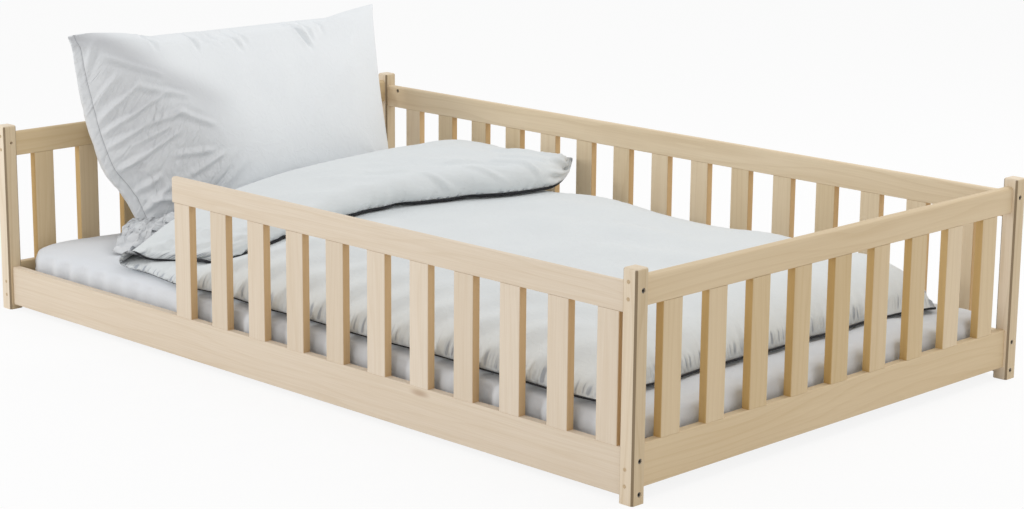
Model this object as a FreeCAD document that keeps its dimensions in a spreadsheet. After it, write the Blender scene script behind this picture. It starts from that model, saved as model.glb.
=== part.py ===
# Low kids bed in solid pine for a 1200 x 2000 mm mattress, with its bedding.
# X runs along the bed towards the foot end, the side with the entry gap faces -Y, and Z is up.
# The origin is on the floor, under the middle of the bed.
import FreeCAD, Part
import os

import Sketcher

Vector = FreeCAD.Vector

# Every length is in millimetres. Each row is a cell of the sheet and its alias.
driving_sizes = (
    ("mattress_length", 2000, "foam mattress in its fitted sheet, which sets the size of the bed"),
    ("mattress_width", 1200, "foam mattress in its fitted sheet"),
    ("mattress_thickness", 100, "foam mattress in its fitted sheet"),
    ("mattress_clearance", 10, "free space between the mattress and the boards, on each side"),
    ("post_size", 36, "side of the square posts"),
    ("post_height", 455, "floor to the top of a post"),
    ("post_chamfer", 4, "flat along each upright edge of a post"),
    ("post_crown", 6, "rounding round the top of a post"),
    ("board_thickness", 20, "rails, boards and slats"),
    ("board_setback", 10, "outer face of a board behind the face of its post"),
    ("board_rounding", 2, "long edges of the lower boards, and the lower edges of the rails"),
    ("rail_rounding", 7, "two upper edges of each top rail"),
    ("side_rail_height", 58, "top rail of the back and of the barrier"),
    ("side_rail_drop", 31, "top of the side rails below the top of the posts"),
    ("end_rail_height", 58, "top rail of the head and foot panels"),
    ("end_rail_drop", 18, "top of the end rails below the top of the posts"),
    ("side_board_height", 94, "lower board of the two long sides"),
    ("side_board_clearance", 12, "lower side boards above the floor"),
    ("end_board_height", 86, "lower board of the head and foot panels"),
    ("end_board_clearance", 28, "lower end boards above the floor"),
    ("entry_width", 645, "opening between the head post and the barrier"),
    ("slat_width", 55, "upright slats of all four sides"),
    ("slat_rounding", 2.5, "upright edges of the slats"),
    ("barrier_overhang", 6.5, "rail end past the first slat of the barrier"),
    ("barrier_post_gap", 14.5, "last slat of the barrier to the foot post"),
    ("tenon_length", 12, "tongue on each end of a slat"),
    ("tenon_thickness", 8, "tongue on each end of a slat"),
    ("tenon_shoulder", 8, "step at the two narrow sides of a tongue"),
    ("mortise_spare", 1, "free depth past the end of a tongue"),
    ("peg_diameter", 8, "wooden pegs that hold the end panels"),
    ("peg_length", 76, "from the outer face of the post into the board"),
    ("peg_proud", 0.6, "rounded end of a peg past the face of the post"),
    ("peg_rounding", 1.2, "rim of that end"),
    ("peg_edge", 8, "peg axis from the nearest edge of its board"),
    ("peg_spacing", 33, "between the two pegs of one board"),
    ("bolt_diameter", 6, "bolts that hold the long sides"),
    ("bolt_clearance", 0.5, "bolt hole over the bolt, on the radius"),
    ("bolt_length", 78, "under the head"),
    ("bolt_head_diameter", 10, "round head with a hexagon socket"),
    ("bolt_head_height", 6, "round head with a hexagon socket"),
    ("bolt_socket", 5, "hexagon socket across its flats"),
    ("bolt_socket_depth", 3.5, "hexagon socket"),
    ("bolt_sink", 2, "head below the face of the post"),
    ("counterbore_clearance", 0.4, "round the bolt head, on the radius"),
    ("bolt_peg_offset", 16, "lower bolts above and below the pegs"),
    ("nut_diameter", 10, "barrel nuts in the ends of the long boards"),
    ("nut_inset", 40, "nut axis from the end of its board"),
    ("nut_cover", 3, "wood left between a nut and the outer face of its board"),
    ("thread_clearance", 0.1, "bolt in the nut, on the radius"),
    ("ledger_width", 22, "strip that carries the base slats"),
    ("ledger_height", 26, "strip that carries the base slats"),
    ("ledger_rise", 4, "ledger above the lower edge of its board"),
    ("ledger_end_gap", 60, "ledger end to the post, clear of the nuts"),
    ("screw_diameter", 4, "countersunk screws of the ledgers"),
    ("screw_length", 35, "whole screw"),
    ("screw_head_diameter", 8, "countersunk head"),
    ("screw_head_height", 3, "countersunk head"),
    ("base_slat_width", 70, "cross slats under the mattress"),
    ("base_slat_thickness", 16, "cross slats under the mattress"),
    ("base_slat_clearance", 3, "slat end to the side board"),
    ("strap_width", 25, "webbing stapled under the base slats"),
    ("strap_thickness", 1.2, "webbing stapled under the base slats"),
    ("mattress_corner", 60, "corner radius seen from above"),
    ("mattress_rounding", 42, "upper and lower edges"),
    ("soft_gap", 0.3, "free space between bedding and what it rests on"),
    ("duvet_head_gap", 302, "fold of the duvet to the head end of the mattress"),
    ("duvet_foot_gap", 108, "foot edge of the duvet to the foot end of the mattress"),
    ("duvet_front_gap", 12, "front edge of the duvet to the side of the mattress"),
    ("duvet_back_gap", 58, "back edge of the duvet to the side of the mattress"),
    ("duvet_loft", 108, "height of the lower layer at its crown"),
    ("duvet_edge", 12, "thickness of the duvet along its seams"),
    ("flap_length", 484, "turned-back layer, along the bed"),
    ("flap_loft", 76, "turned-back layer above the lower layer"),
    ("flap_reach", 48, "far corner of the turned-back layer past the lower layer"),
    ("pillow_front_gap", 145, "front upper corner of the pillow to the side of the mattress"),
    ("pillow_back_gap", 55, "back upper corner of the pillow to the side of the mattress"),
    ("pillow_height", 527, "along its own slope"),
    ("pillow_thickness", 190, "at its crown"),
    ("pillow_seam", 8, "thickness at the seams"),
    ("pillow_foot_distance", 160, "middle of its lower edge to the headboard"),
    ("pillow_settle", 8, "how far the pillow is pressed flat on the mattress"),
    ("pillow_sag", 18, "upper edge of the pillow, drawn in between its corners"),
)

# Counts, angles and shares, which carry no unit.
crown_limit_share = 1.45
mattress_limit_share = 0.45
parallel_share = 0.999
hexagon_sides = 6
barrier_slat_count = 11
back_slat_count = 15
end_slat_count = 9
base_slat_count = 14
screws_per_ledger = 5
end_gap_share = 0.7
strap_place_share = 0.3
pillow_lean_degrees = 15.5

# Rows across the duvet: place across its width, height of its crown, then how far the foot edge
# and the fold are drawn in, all as shares of the duvet's own sizes.
duvet_row_shares = (
    (0.0, 0.06, 0.016, 0.07),
    (0.04, 0.5, 0.004, 0.04),
    (0.12, 0.8, 0.0, 0.02),
    (0.3, 0.91, 0.004, 0.005),
    (0.55, 0.94, 0.008, 0.0),
    (0.78, 1.0, 0.004, 0.0),
    (0.9, 0.97, 0.0, 0.01),
    (0.965, 0.72, 0.004, 0.02),
    (1.0, 0.06, 0.012, 0.05),
)

# Rows across the turned-back layer: place across, fold and free edge along its length, and
# its underside and top as shares of the height of both layers.
flap_row_shares = (
    (0.0, 0.19, 0.543, 0.035, 0.12),
    (0.06, 0.103, 0.575, 0.05, 0.36),
    (0.2, 0.041, 0.715, 0.26, 0.69),
    (0.42, 0.006, 0.736, 0.41, 0.9),
    (0.62, 0.0, 0.79, 0.44, 0.98),
    (0.8, 0.01, 0.971, 0.47, 1.0),
    (0.91, 0.043, 1.0, 0.54, 0.99),
    (0.97, 0.099, 0.957, 0.66, 0.96),
    (1.0, 0.14, 0.884, 0.76, 0.88),
)

# Rows up the pillow: place along its height, then its width and thickness.
pillow_row_shares = (
    (0.0, 0.84, 0.5),
    (0.1, 0.86, 0.8),
    (0.3, 0.885, 1.0),
    (0.55, 0.915, 0.98),
    (0.78, 0.945, 0.72),
    (0.93, 0.98, 0.34),
    (1.0, 1.0, 0.03),
)

# Two points of a puffed side of the pillow: place across from its middle, and depth.
puff_shoulder_share = (0.36, 0.82)
puff_end_share = (0.45, 0.5)

# The duvet's profile along the bed: slope to the foot edge, along its length, a point of the
# slope, along it and up it, and the roll at the fold, along its own height.
duvet_slope_share = 0.11
slope_point_share = (0.3, 0.72)
duvet_roll_share = 0.45

# The turned-back layer's profile: how far its two ends stand below the middle of its top, and
# their roundness along their own height.
flap_end_height_share = 0.86
flap_end_share = 0.45

doc = FreeCAD.newDocument("KidsBed")
sheet = doc.addObject("Spreadsheet::Sheet", "Sizes")
for row, (alias, value, note) in enumerate(driving_sizes, 1):
    sheet.set("A%d" % row, alias)
    sheet.set("B%d" % row, str(value))
    sheet.set("C%d" % row, note)
    sheet.setAlias("B%d" % row, alias)
doc.recompute()

sub_parts = []


def size(alias):
    return float(sheet.get(alias))


# Places that several pieces share, as expressions on the sheet. Each is for the side where
# its axis is positive, and a piece of the other side puts a minus sign before it.
board_inner = {
    "x": "(Sizes.mattress_length / 2 + Sizes.mattress_clearance)",
    "y": "(Sizes.mattress_width / 2 + Sizes.mattress_clearance)",
}
board_middle = {axis: "(%s + Sizes.board_thickness / 2)" % face for axis, face in board_inner.items()}
post_face = {axis: "(%s + Sizes.board_thickness + Sizes.board_setback)" % face
             for axis, face in board_inner.items()}
post_inner = {axis: "(%s - Sizes.post_size)" % face for axis, face in post_face.items()}
side_rail_top = "(Sizes.post_height - Sizes.side_rail_drop)"
side_rail_bottom = "(%s - Sizes.side_rail_height)" % side_rail_top
end_rail_top = "(Sizes.post_height - Sizes.end_rail_drop)"
end_rail_bottom = "(%s - Sizes.end_rail_height)" % end_rail_top
side_board_top = "(Sizes.side_board_clearance + Sizes.side_board_height)"
end_board_top = "(Sizes.end_board_clearance + Sizes.end_board_height)"
upper_pegs = [
    "(%s - Sizes.peg_edge)" % end_rail_top,
    "(%s - Sizes.peg_edge - Sizes.peg_spacing)" % end_rail_top,
]
lower_pegs = [
    "(Sizes.end_board_clearance + Sizes.peg_edge + Sizes.peg_spacing)",
    "(Sizes.end_board_clearance + Sizes.peg_edge)",
]
upper_bolt = "((%s + %s) / 2)" % (upper_pegs[0], upper_pegs[1])
lower_bolts = [
    "(%s + Sizes.bolt_peg_offset)" % lower_pegs[0],
    "(%s - Sizes.bolt_peg_offset)" % lower_pegs[1],
]
ledger_bottom = "(Sizes.side_board_clearance + Sizes.ledger_rise)"
ledger_top = "(%s + Sizes.ledger_height)" % ledger_bottom
base_top = "(%s + Sizes.base_slat_thickness)" % ledger_top
barrier_end = "(%s - Sizes.entry_width)" % post_inner["x"]
back_gap = "((2 * %s - %d * Sizes.slat_width) / %d)" % (
    post_inner["x"], back_slat_count, back_slat_count + 1)
end_gap = "((2 * %s - %d * Sizes.slat_width) / (%d + 2 * %s))" % (
    post_inner["y"], end_slat_count, end_slat_count - 1, end_gap_share)
barrier_gap = "((%s + %s - Sizes.barrier_overhang - Sizes.barrier_post_gap - %d * Sizes.slat_width) / %d)" % (
    post_inner["x"], barrier_end, barrier_slat_count, barrier_slat_count - 1)
base_gap = "((2 * %s - %d * Sizes.base_slat_width) / %d)" % (
    post_inner["x"], base_slat_count, base_slat_count + 1)

along_x = FreeCAD.Rotation(Vector(0, 1, 0), 90)
along_minus_x = FreeCAD.Rotation(Vector(0, 1, 0), -90)
along_y = FreeCAD.Rotation(Vector(1, 0, 0), -90)
along_minus_y = FreeCAD.Rotation(Vector(1, 0, 0), 90)


# Shared helpers: an object whose properties and place are bound to expressions.
def bound(kind, name, sizes, place, rotation=None):
    piece = doc.addObject(kind, name)
    if rotation is not None:
        piece.Placement = FreeCAD.Placement(Vector(), rotation)
    for prop, text in sizes.items():
        piece.setExpression(prop, text)
    for axis, text in zip("xyz", place):
        piece.setExpression("Placement.Base." + axis, text)
    return piece


def box(name, length, width, height, place):
    return bound("Part::Box", name, {"Length": length, "Width": width, "Height": height}, place)


def cylinder(name, radius, height, place, rotation):
    return bound("Part::Cylinder", name, {"Radius": radius, "Height": height}, place, rotation)


def cut(name, base, tools):
    result = doc.addObject("Part::Cut", name)
    result.Base = base
    result.Tool = tools[0] if len(tools) == 1 else group(name + "_tools", tools)
    return result


def group(name, links):
    result = doc.addObject("Part::Compound", name)
    result.Links = links
    return result


def fuse(name, shapes):
    result = doc.addObject("Part::MultiFuse", name)
    result.Shapes = shapes
    return result


def rounded(name, base, picks):
    # picks holds pairs: a test for an edge of the base, and the radius its edges get
    base.recompute()
    result = doc.addObject("Part::Fillet", name)
    result.Base = base
    edges = []
    for number, edge in enumerate(base.Shape.Edges, 1):
        for wanted, radius in picks:
            if wanted(edge):
                edges.append((number, radius, radius))
                break
    result.Edges = edges
    return result


def runs_along(edge, axis):
    ends = [vertex.Point for vertex in edge.Vertexes]
    if len(ends) < 2:
        return False
    run = (ends[1] - ends[0]).normalize()
    return abs(getattr(run, axis)) > parallel_share


def level(edge):
    return edge.BoundBox.Center.z


def finish(piece, label):
    piece.Label = label
    sub_parts.append(piece)
    return piece


# Holes for the fasteners, made a little longer than the wood that they pass.
def bolt_hole(name, end, side, height, depth):
    # from the outer face of the post along X, for one bolt of a long side
    rotation = along_minus_x if end == "" else along_x
    place = (end + post_face["x"], side + board_middle["y"], height)
    return cylinder(name, "Sizes.bolt_diameter / 2 + Sizes.bolt_clearance", depth, place, rotation)


def peg_hole(name, end, side, height):
    start = "(%s + Sizes.peg_proud - Sizes.peg_length)" % post_face["y"]
    rotation = along_y if side == "" else along_minus_y
    return cylinder(name, "Sizes.peg_diameter / 2", "Sizes.peg_length",
                    (end + board_middle["x"], side + start, height), rotation)


# The four posts are alike: square, with flats on the upright edges and a rounded top.
# Each has three bolt holes along X and four peg holes along Y.
def rectangle(body, name, long_side, short_side):
    sketch = body.newObject("Sketcher::SketchObject", name)
    plane = [feature for feature in body.Origin.OriginFeatures if feature.Role == "XY_Plane"][0]
    sketch.AttachmentSupport = (plane, [""])
    sketch.MapMode = "FlatFace"
    corners = [Vector(-1, -1, 0), Vector(1, -1, 0), Vector(1, 1, 0), Vector(-1, 1, 0)]
    for number in range(4):
        sketch.addGeometry(Part.LineSegment(corners[number], corners[(number + 1) % 4]), False)
    for number in range(4):
        sketch.addConstraint(Sketcher.Constraint("Coincident", number, 2, (number + 1) % 4, 1))
    for number in (0, 2):
        sketch.addConstraint(Sketcher.Constraint("Horizontal", number))
    for number in (1, 3):
        sketch.addConstraint(Sketcher.Constraint("Vertical", number))
    sketch.addConstraint(Sketcher.Constraint("Symmetric", 0, 1, 1, 2, -1, 1))
    across = sketch.addConstraint(Sketcher.Constraint("DistanceX", 0, 1, 0, 2, 2))
    sketch.renameConstraint(across, "across")
    sketch.setExpression("Constraints.across", long_side)
    up = sketch.addConstraint(Sketcher.Constraint("DistanceY", 1, 1, 1, 2, 2))
    sketch.renameConstraint(up, "up")
    sketch.setExpression("Constraints.up", short_side)
    return sketch


def padded_body(name, long_side, short_side, height):
    body = doc.addObject("PartDesign::Body", name)
    outline = rectangle(body, name + "_outline", long_side, short_side)
    pad = body.newObject("PartDesign::Pad", name + "_pad")
    pad.Profile = outline
    pad.setExpression("Length", height)
    doc.recompute()
    return body, pad


def edge_names(shape, wanted):
    return ["Edge%d" % number for number, edge in enumerate(shape.Edges, 1) if wanted(edge)]


def post(label, end, side):
    body, pad = padded_body(label + "_timber", "Sizes.post_size", "Sizes.post_size", "Sizes.post_height")
    flats = body.newObject("PartDesign::Chamfer", label + "_flats")
    flats.Base = (pad, edge_names(pad.Shape, lambda edge: runs_along(edge, "z")))
    flats.setExpression("Size", "Sizes.post_chamfer")
    doc.recompute()
    near_top = size("post_height") - size("post_crown")
    crown = body.newObject("PartDesign::Fillet", label + "_crown")
    crown.Base = (flats, edge_names(flats.Shape, lambda edge: edge.BoundBox.ZMin > near_top))
    crown.setExpression("Radius", "min(Sizes.post_crown; %s * Sizes.post_chamfer)" % crown_limit_share)
    body.setExpression("Placement.Base.x", "%s(%s - Sizes.post_size / 2)" % (end, post_face["x"]))
    body.setExpression("Placement.Base.y", "%s(%s - Sizes.post_size / 2)" % (side, post_face["y"]))
    doc.recompute()
    holes = []
    for number, height in enumerate([upper_bolt] + lower_bolts):
        holes.append(bolt_hole("%s_bolt_hole_%d" % (label, number), end, side, height,
                               "Sizes.post_size"))
        rotation = along_minus_x if end == "" else along_x
        holes.append(cylinder("%s_counterbore_%d" % (label, number),
                              "Sizes.bolt_head_diameter / 2 + Sizes.counterbore_clearance",
                              "Sizes.bolt_sink + Sizes.bolt_head_height",
                              (end + post_face["x"], side + board_middle["y"], height), rotation))
    for number, height in enumerate(upper_pegs + lower_pegs):
        holes.append(peg_hole("%s_peg_hole_%d" % (label, number), end, side, height))
    return finish(cut(label, body, [fuse(label + "_holes", holes)]), label)


# Slats stand between a rail and a lower board, with a tongue at each end.
def slat(label, across, centre, bottom, top, rows):
    # across is "x" for a slat of an end panel, whose thickness lies along X, and "y" for a side
    thick_start = "%s - Sizes.board_thickness / 2" % centre
    tongue_start = "%s - Sizes.tenon_thickness / 2" % centre
    length = "%s - %s" % (top, bottom)
    tongue_length = "%s + 2 * Sizes.tenon_length" % length
    tongue_width = "Sizes.slat_width - 2 * Sizes.tenon_shoulder"
    tongue_from = "%s + Sizes.tenon_shoulder" % rows
    low = "%s - Sizes.tenon_length" % bottom
    if across == "x":
        blade = box(label + "_blade", "Sizes.board_thickness", "Sizes.slat_width", length,
                    (thick_start, rows, bottom))
        tongue = box(label + "_tongue", "Sizes.tenon_thickness", tongue_width, tongue_length,
                     (tongue_start, tongue_from, low))
    else:
        blade = box(label + "_blade", "Sizes.slat_width", "Sizes.board_thickness", length,
                    (rows, thick_start, bottom))
        tongue = box(label + "_tongue", tongue_width, "Sizes.tenon_thickness", tongue_length,
                     (tongue_from, tongue_start, low))
    soft_blade = rounded(label + "_eased", blade,
                         [(lambda edge: runs_along(edge, "z"), size("slat_rounding"))])
    return fuse(label, [soft_blade, tongue])


def mortise(name, across, centre, rows, start):
    width = "Sizes.slat_width - 2 * Sizes.tenon_shoulder"
    along = "%s + Sizes.tenon_shoulder" % rows
    thick_start = "%s - Sizes.tenon_thickness / 2" % centre
    depth = "Sizes.tenon_length + Sizes.mortise_spare"
    if across == "x":
        return box(name, "Sizes.tenon_thickness", width, depth, (thick_start, along, start))
    return box(name, width, "Sizes.tenon_thickness", depth, (along, thick_start, start))


def slat_starts(first, gap, count):
    return ["(%s + %d * (Sizes.slat_width + %s))" % (first, number, gap) for number in range(count)]


back_starts = slat_starts("-%s + %s" % (post_inner["x"], back_gap), back_gap, back_slat_count)
end_starts = slat_starts("-%s + %s * %s" % (post_inner["y"], end_gap_share, end_gap), end_gap, end_slat_count)
barrier_starts = slat_starts("-%s + Sizes.barrier_overhang" % barrier_end, barrier_gap, barrier_slat_count)


# Boards and rails lie between the posts. upper and lower are the radii of their long edges.
def board(label, across, centre, start, length, bottom, height, upper, lower, cuts, ease_start=False):
    thick_start = "%s - Sizes.board_thickness / 2" % centre
    if across == "x":
        blank = box(label + "_blank", "Sizes.board_thickness", length, height,
                    (thick_start, start, bottom))
        lengthwise = "y"
    else:
        blank = box(label + "_blank", length, "Sizes.board_thickness", height,
                    (start, thick_start, bottom))
        lengthwise = "x"
    blank.recompute()
    bounds = blank.Shape.BoundBox
    middle = bounds.Center.z
    first = bounds.XMin
    picks = [
        (lambda edge: runs_along(edge, lengthwise) and level(edge) > middle, upper),
        (lambda edge: runs_along(edge, lengthwise) and level(edge) < middle, lower),
    ]
    if ease_start:
        picks.append((lambda edge: runs_along(edge, "z") and edge.BoundBox.XMax < first + upper, lower))
    eased = rounded(label + "_eased", blank, picks)
    return finish(cut(label, eased, [fuse(label + "_cuts", cuts)]), label)


def nut_hole(name, end, side, height):
    # bored from the inner face of a long board, across its bolt hole
    rotation = along_minus_y if side == "-" else along_y
    length = "Sizes.board_thickness - Sizes.nut_cover"
    return cylinder(name, "Sizes.nut_diameter / 2", length,
                    (end + "(%s - Sizes.nut_inset)" % post_inner["x"], side + board_inner["y"], height),
                    rotation)


def bolt_holes(label, ends, side, heights):
    holes = []
    depth = "Sizes.bolt_sink + Sizes.bolt_head_height + Sizes.bolt_length + Sizes.mortise_spare"
    for end in ends:
        for number, height in enumerate(heights):
            name = "%s_%s_%d" % (label, "head" if end == "-" else "foot", number)
            holes.append(bolt_hole(name + "_bolt_hole", end, side, height, depth))
            holes.append(nut_hole(name + "_nut_hole", end, side, height))
    return holes


def screw_places():
    # along the ledger, as expressions
    length = "(2 * %s - 2 * Sizes.ledger_end_gap)" % post_inner["x"]
    return ["(%s * %s)" % (length, (number + 0.5) / screws_per_ledger - 0.5)
            for number in range(screws_per_ledger)]


def screw_hole(name, side, along):
    rotation = along_y if side == "" else along_minus_y
    start = "(%s - Sizes.ledger_width)" % board_inner["y"]
    return cylinder(name, "Sizes.screw_diameter / 2", "Sizes.screw_length",
                    (along, side + start, "%s + Sizes.ledger_height / 2" % ledger_bottom), rotation)


def end_panel(name, end):
    centre = end + board_middle["x"]
    length = "2 * " + post_inner["y"]
    start = "-" + post_inner["y"]
    for label, bottom, height, upper, pegs, opening in (
            (name + "_top_rail", end_rail_bottom, "Sizes.end_rail_height", size("rail_rounding"),
             upper_pegs, end_rail_bottom),
            (name + "_lower_board", "Sizes.end_board_clearance", "Sizes.end_board_height",
             size("board_rounding"), lower_pegs,
             "%s - Sizes.tenon_length - Sizes.mortise_spare" % end_board_top)):
        cuts = [mortise("%s_mortise_%d" % (label, number), "x", centre, rows, opening)
                for number, rows in enumerate(end_starts, 1)]
        for side in ("", "-"):
            for number, peg in enumerate(pegs):
                cuts.append(peg_hole("%s_peg_%s_%d" % (label, "front" if side else "back", number),
                                     end, side, peg))
        board(label, "x", centre, start, length, bottom, height, upper, size("board_rounding"), cuts)
    for number, rows in enumerate(end_starts, 1):
        label = "%s_slat_%d" % (name, number)
        finish(slat(label, "x", centre, end_board_top, end_rail_bottom, rows), label)


def long_side(name, side, rail_start, rail_ends, starts):
    centre = side + board_middle["y"]
    rail_length = "%s - (%s)" % (post_inner["x"], rail_start)
    board_start = "-" + post_inner["x"]
    board_length = "2 * " + post_inner["x"]
    rail, lower = name + "_top_rail", name + "_lower_board"
    cuts = [mortise("%s_mortise_%d" % (rail, number), "y", centre, rows, side_rail_bottom)
            for number, rows in enumerate(starts, 1)]
    cuts += bolt_holes(rail, rail_ends, side, [upper_bolt])
    board(rail, "y", centre, rail_start, rail_length, side_rail_bottom, "Sizes.side_rail_height",
          size("rail_rounding"), size("board_rounding"), cuts, ease_start=(rail_ends == [""]))
    opening = "%s - Sizes.tenon_length - Sizes.mortise_spare" % side_board_top
    cuts = [mortise("%s_mortise_%d" % (lower, number), "y", centre, rows, opening)
            for number, rows in enumerate(starts, 1)]
    cuts += bolt_holes(lower, ["", "-"], side, lower_bolts)
    cuts += [screw_hole("%s_screw_hole_%d" % (lower, number), side, along)
             for number, along in enumerate(screw_places(), 1)]
    board(lower, "y", centre, board_start, board_length, "Sizes.side_board_clearance",
          "Sizes.side_board_height", size("board_rounding"), size("board_rounding"), cuts)
    return [slat("%s_slat_%d" % (name, number), "y", centre, side_board_top, side_rail_bottom, rows)
            for number, rows in enumerate(starts, 1)]


for end_name, end in (("foot", ""), ("head", "-")):
    for side_name, side in (("front", "-"), ("back", "")):
        post("post_%s_%s" % (end_name, side_name), end, side)
    end_panel(end_name, end)
for barrier_slat in long_side("front", "-", "-" + barrier_end, [""], barrier_starts):
    finish(barrier_slat, barrier_slat.Name)
finish(group("back_slat_row", long_side("back", "", "-" + post_inner["x"], ["", "-"], back_starts)),
       "back_slats")


# Pegs, bolts, nuts and screws: one group of separate solids for each kind.
def peg(name, end, side, height):
    rotation = along_minus_y if side == "" else along_y
    start = "(%s + Sizes.peg_proud)" % post_face["y"]
    blank = cylinder(name + "_blank", "Sizes.peg_diameter / 2", "Sizes.peg_length",
                     (end + board_middle["x"], side + start, height), rotation)

    def outer_rim(edge):
        return edge.Closed and abs(edge.BoundBox.Center.y) > abs(blank.Shape.BoundBox.Center.y)
    return rounded(name, blank, [(outer_rim, size("peg_rounding"))])


def bolt(name, end, side, height):
    rotation = along_minus_x if end == "" else along_x
    head_face = "(%s - Sizes.bolt_sink)" % post_face["x"]
    seat = "(%s - Sizes.bolt_head_height)" % head_face
    across = side + board_middle["y"]
    head = cylinder(name + "_head", "Sizes.bolt_head_diameter / 2", "Sizes.bolt_head_height",
                    (end + head_face, across, height), rotation)
    shank = cylinder(name + "_shank", "Sizes.bolt_diameter / 2", "Sizes.bolt_length",
                     (end + seat, across, height), rotation)
    corner_radius = "Sizes.bolt_socket / 2 / cos(180 / %d)" % hexagon_sides
    socket = bound("Part::Prism", name + "_socket",
                   {"Circumradius": corner_radius, "Height": "Sizes.bolt_socket_depth"},
                   (end + head_face, across, height), rotation)
    socket.Polygon = hexagon_sides
    return cut(name, fuse(name + "_solid", [head, shank]), [socket])


def nut(name, end, side, height):
    rotation = along_y if side == "" else along_minus_y
    inner = "(%s + Sizes.nut_cover)" % board_inner["y"]
    along = "(%s - Sizes.nut_inset)" % post_inner["x"]
    barrel = cylinder(name + "_barrel", "Sizes.nut_diameter / 2",
                      "Sizes.board_thickness - 2 * Sizes.nut_cover",
                      (end + along, side + inner, height), rotation)
    thread = cylinder(name + "_thread", "Sizes.bolt_diameter / 2 + Sizes.thread_clearance",
                      "Sizes.nut_diameter",
                      (end + "(%s + Sizes.nut_diameter / 2)" % along, side + board_middle["y"], height),
                      along_minus_x if end == "" else along_x)
    return cut(name, barrel, [thread])


def screw(name, side, along):
    rotation = along_y if side == "" else along_minus_y
    start = "(%s - Sizes.ledger_width)" % board_inner["y"]
    place = (along, side + start, "%s + Sizes.ledger_height / 2" % ledger_bottom)
    shank = cylinder(name + "_shank", "Sizes.screw_diameter / 2", "Sizes.screw_length", place, rotation)
    head = bound("Part::Cone", name + "_head",
                 {"Radius1": "Sizes.screw_head_diameter / 2", "Radius2": "Sizes.screw_diameter / 2",
                  "Height": "Sizes.screw_head_height"}, place, rotation)
    return fuse(name, [shank, head])


corners = [(end, side) for end in ("", "-") for side in ("", "-")]
finish(group("peg_set", [
    peg("peg_%d_%d" % (corner, number), end, side, height)
    for corner, (end, side) in enumerate(corners)
    for number, height in enumerate(upper_pegs + lower_pegs)]), "wooden_pegs")
bolt_places = [(end, side, height) for end, side in corners for height in lower_bolts]
bolt_places += [("", "", upper_bolt), ("-", "", upper_bolt), ("", "-", upper_bolt)]
finish(group("bolt_set", [bolt("bolt_%d" % number, *place) for number, place in enumerate(bolt_places)]),
       "frame_bolts")
finish(group("nut_set", [nut("nut_%d" % number, *place) for number, place in enumerate(bolt_places)]),
       "barrel_nuts")
finish(group("screw_set", [
    screw("screw_%s_%d" % ("front" if side else "back", number), side, along)
    for side in ("", "-") for number, along in enumerate(screw_places(), 1)]), "ledger_screws")


# The base: a ledger on each side board, cross slats on the ledgers, and two straps below them.
def ledger(label, side):
    length = "2 * %s - 2 * Sizes.ledger_end_gap" % post_inner["x"]
    start_x = "-%s + Sizes.ledger_end_gap" % post_inner["x"]
    near = "(%s - Sizes.ledger_width)" % board_inner["y"]
    start_y = near if side == "" else "-" + board_inner["y"]
    blank = box(label + "_blank", length, "Sizes.ledger_width", "Sizes.ledger_height",
                (start_x, start_y, ledger_bottom))
    tools = []
    for number, along in enumerate(screw_places(), 1):
        tools.append(screw_hole("%s_hole_%d" % (label, number), side, along))
        tools.append(bound("Part::Cone", "%s_sink_%d" % (label, number),
                           {"Radius1": "Sizes.screw_head_diameter / 2",
                            "Radius2": "Sizes.screw_diameter / 2",
                            "Height": "Sizes.screw_head_height"},
                           (along, side + near, "%s + Sizes.ledger_height / 2" % ledger_bottom),
                           along_y if side == "" else along_minus_y))
    return finish(cut(label, blank, [fuse(label + "_holes", tools)]), label)


ledger("ledger_front", "-")
ledger("ledger_back", "")

base_length = "2 * (%s - Sizes.base_slat_clearance)" % board_inner["y"]
base_slats = []
for number in range(base_slat_count):
    start = "-%s + %s + %d * (Sizes.base_slat_width + %s)" % (post_inner["x"], base_gap, number, base_gap)
    blank = box("base_slat_%d_blank" % number, "Sizes.base_slat_width", base_length,
                "Sizes.base_slat_thickness",
                (start, "-%s + Sizes.base_slat_clearance" % board_inner["y"], ledger_top))
    base_slats.append(rounded("base_slat_%d" % number, blank,
                              [(lambda edge: runs_along(edge, "y"), size("board_rounding"))]))
finish(group("base_slat_set", base_slats), "base_slats")

straps = []
for name, side in (("front", "-"), ("back", "")):
    centre = "%s%s * (%s)" % (side, strap_place_share, base_length)
    straps.append(box("strap_" + name, "2 * (%s - %s)" % (post_inner["x"], base_gap), "Sizes.strap_width",
                      "Sizes.strap_thickness",
                      ("-%s + %s" % (post_inner["x"], base_gap), "%s - Sizes.strap_width / 2" % centre,
                       "%s - Sizes.strap_thickness" % ledger_top)))
finish(group("strap_set", straps), "base_straps")

# The mattress in its fitted sheet.
mattress, mattress_pad = padded_body("mattress_body", "Sizes.mattress_length", "Sizes.mattress_width",
                                     "Sizes.mattress_thickness")
corner_fillet = mattress.newObject("PartDesign::Fillet", "mattress_corners")
corner_fillet.Base = (mattress_pad, edge_names(mattress_pad.Shape, lambda edge: runs_along(edge, "z")))
corner_fillet.setExpression("Radius", "Sizes.mattress_corner")
doc.recompute()
edge_fillet = mattress.newObject("PartDesign::Fillet", "mattress_edges")
edge_fillet.Base = (corner_fillet, edge_names(corner_fillet.Shape,
                                              lambda edge: edge.BoundBox.ZLength < size("soft_gap")))
edge_fillet.setExpression("Radius", "min(Sizes.mattress_rounding; %s * Sizes.mattress_thickness)"
                          % mattress_limit_share)
mattress.setExpression("Placement.Base.z", "%s + Sizes.soft_gap" % base_top)
finish(mattress, "mattress")


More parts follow.
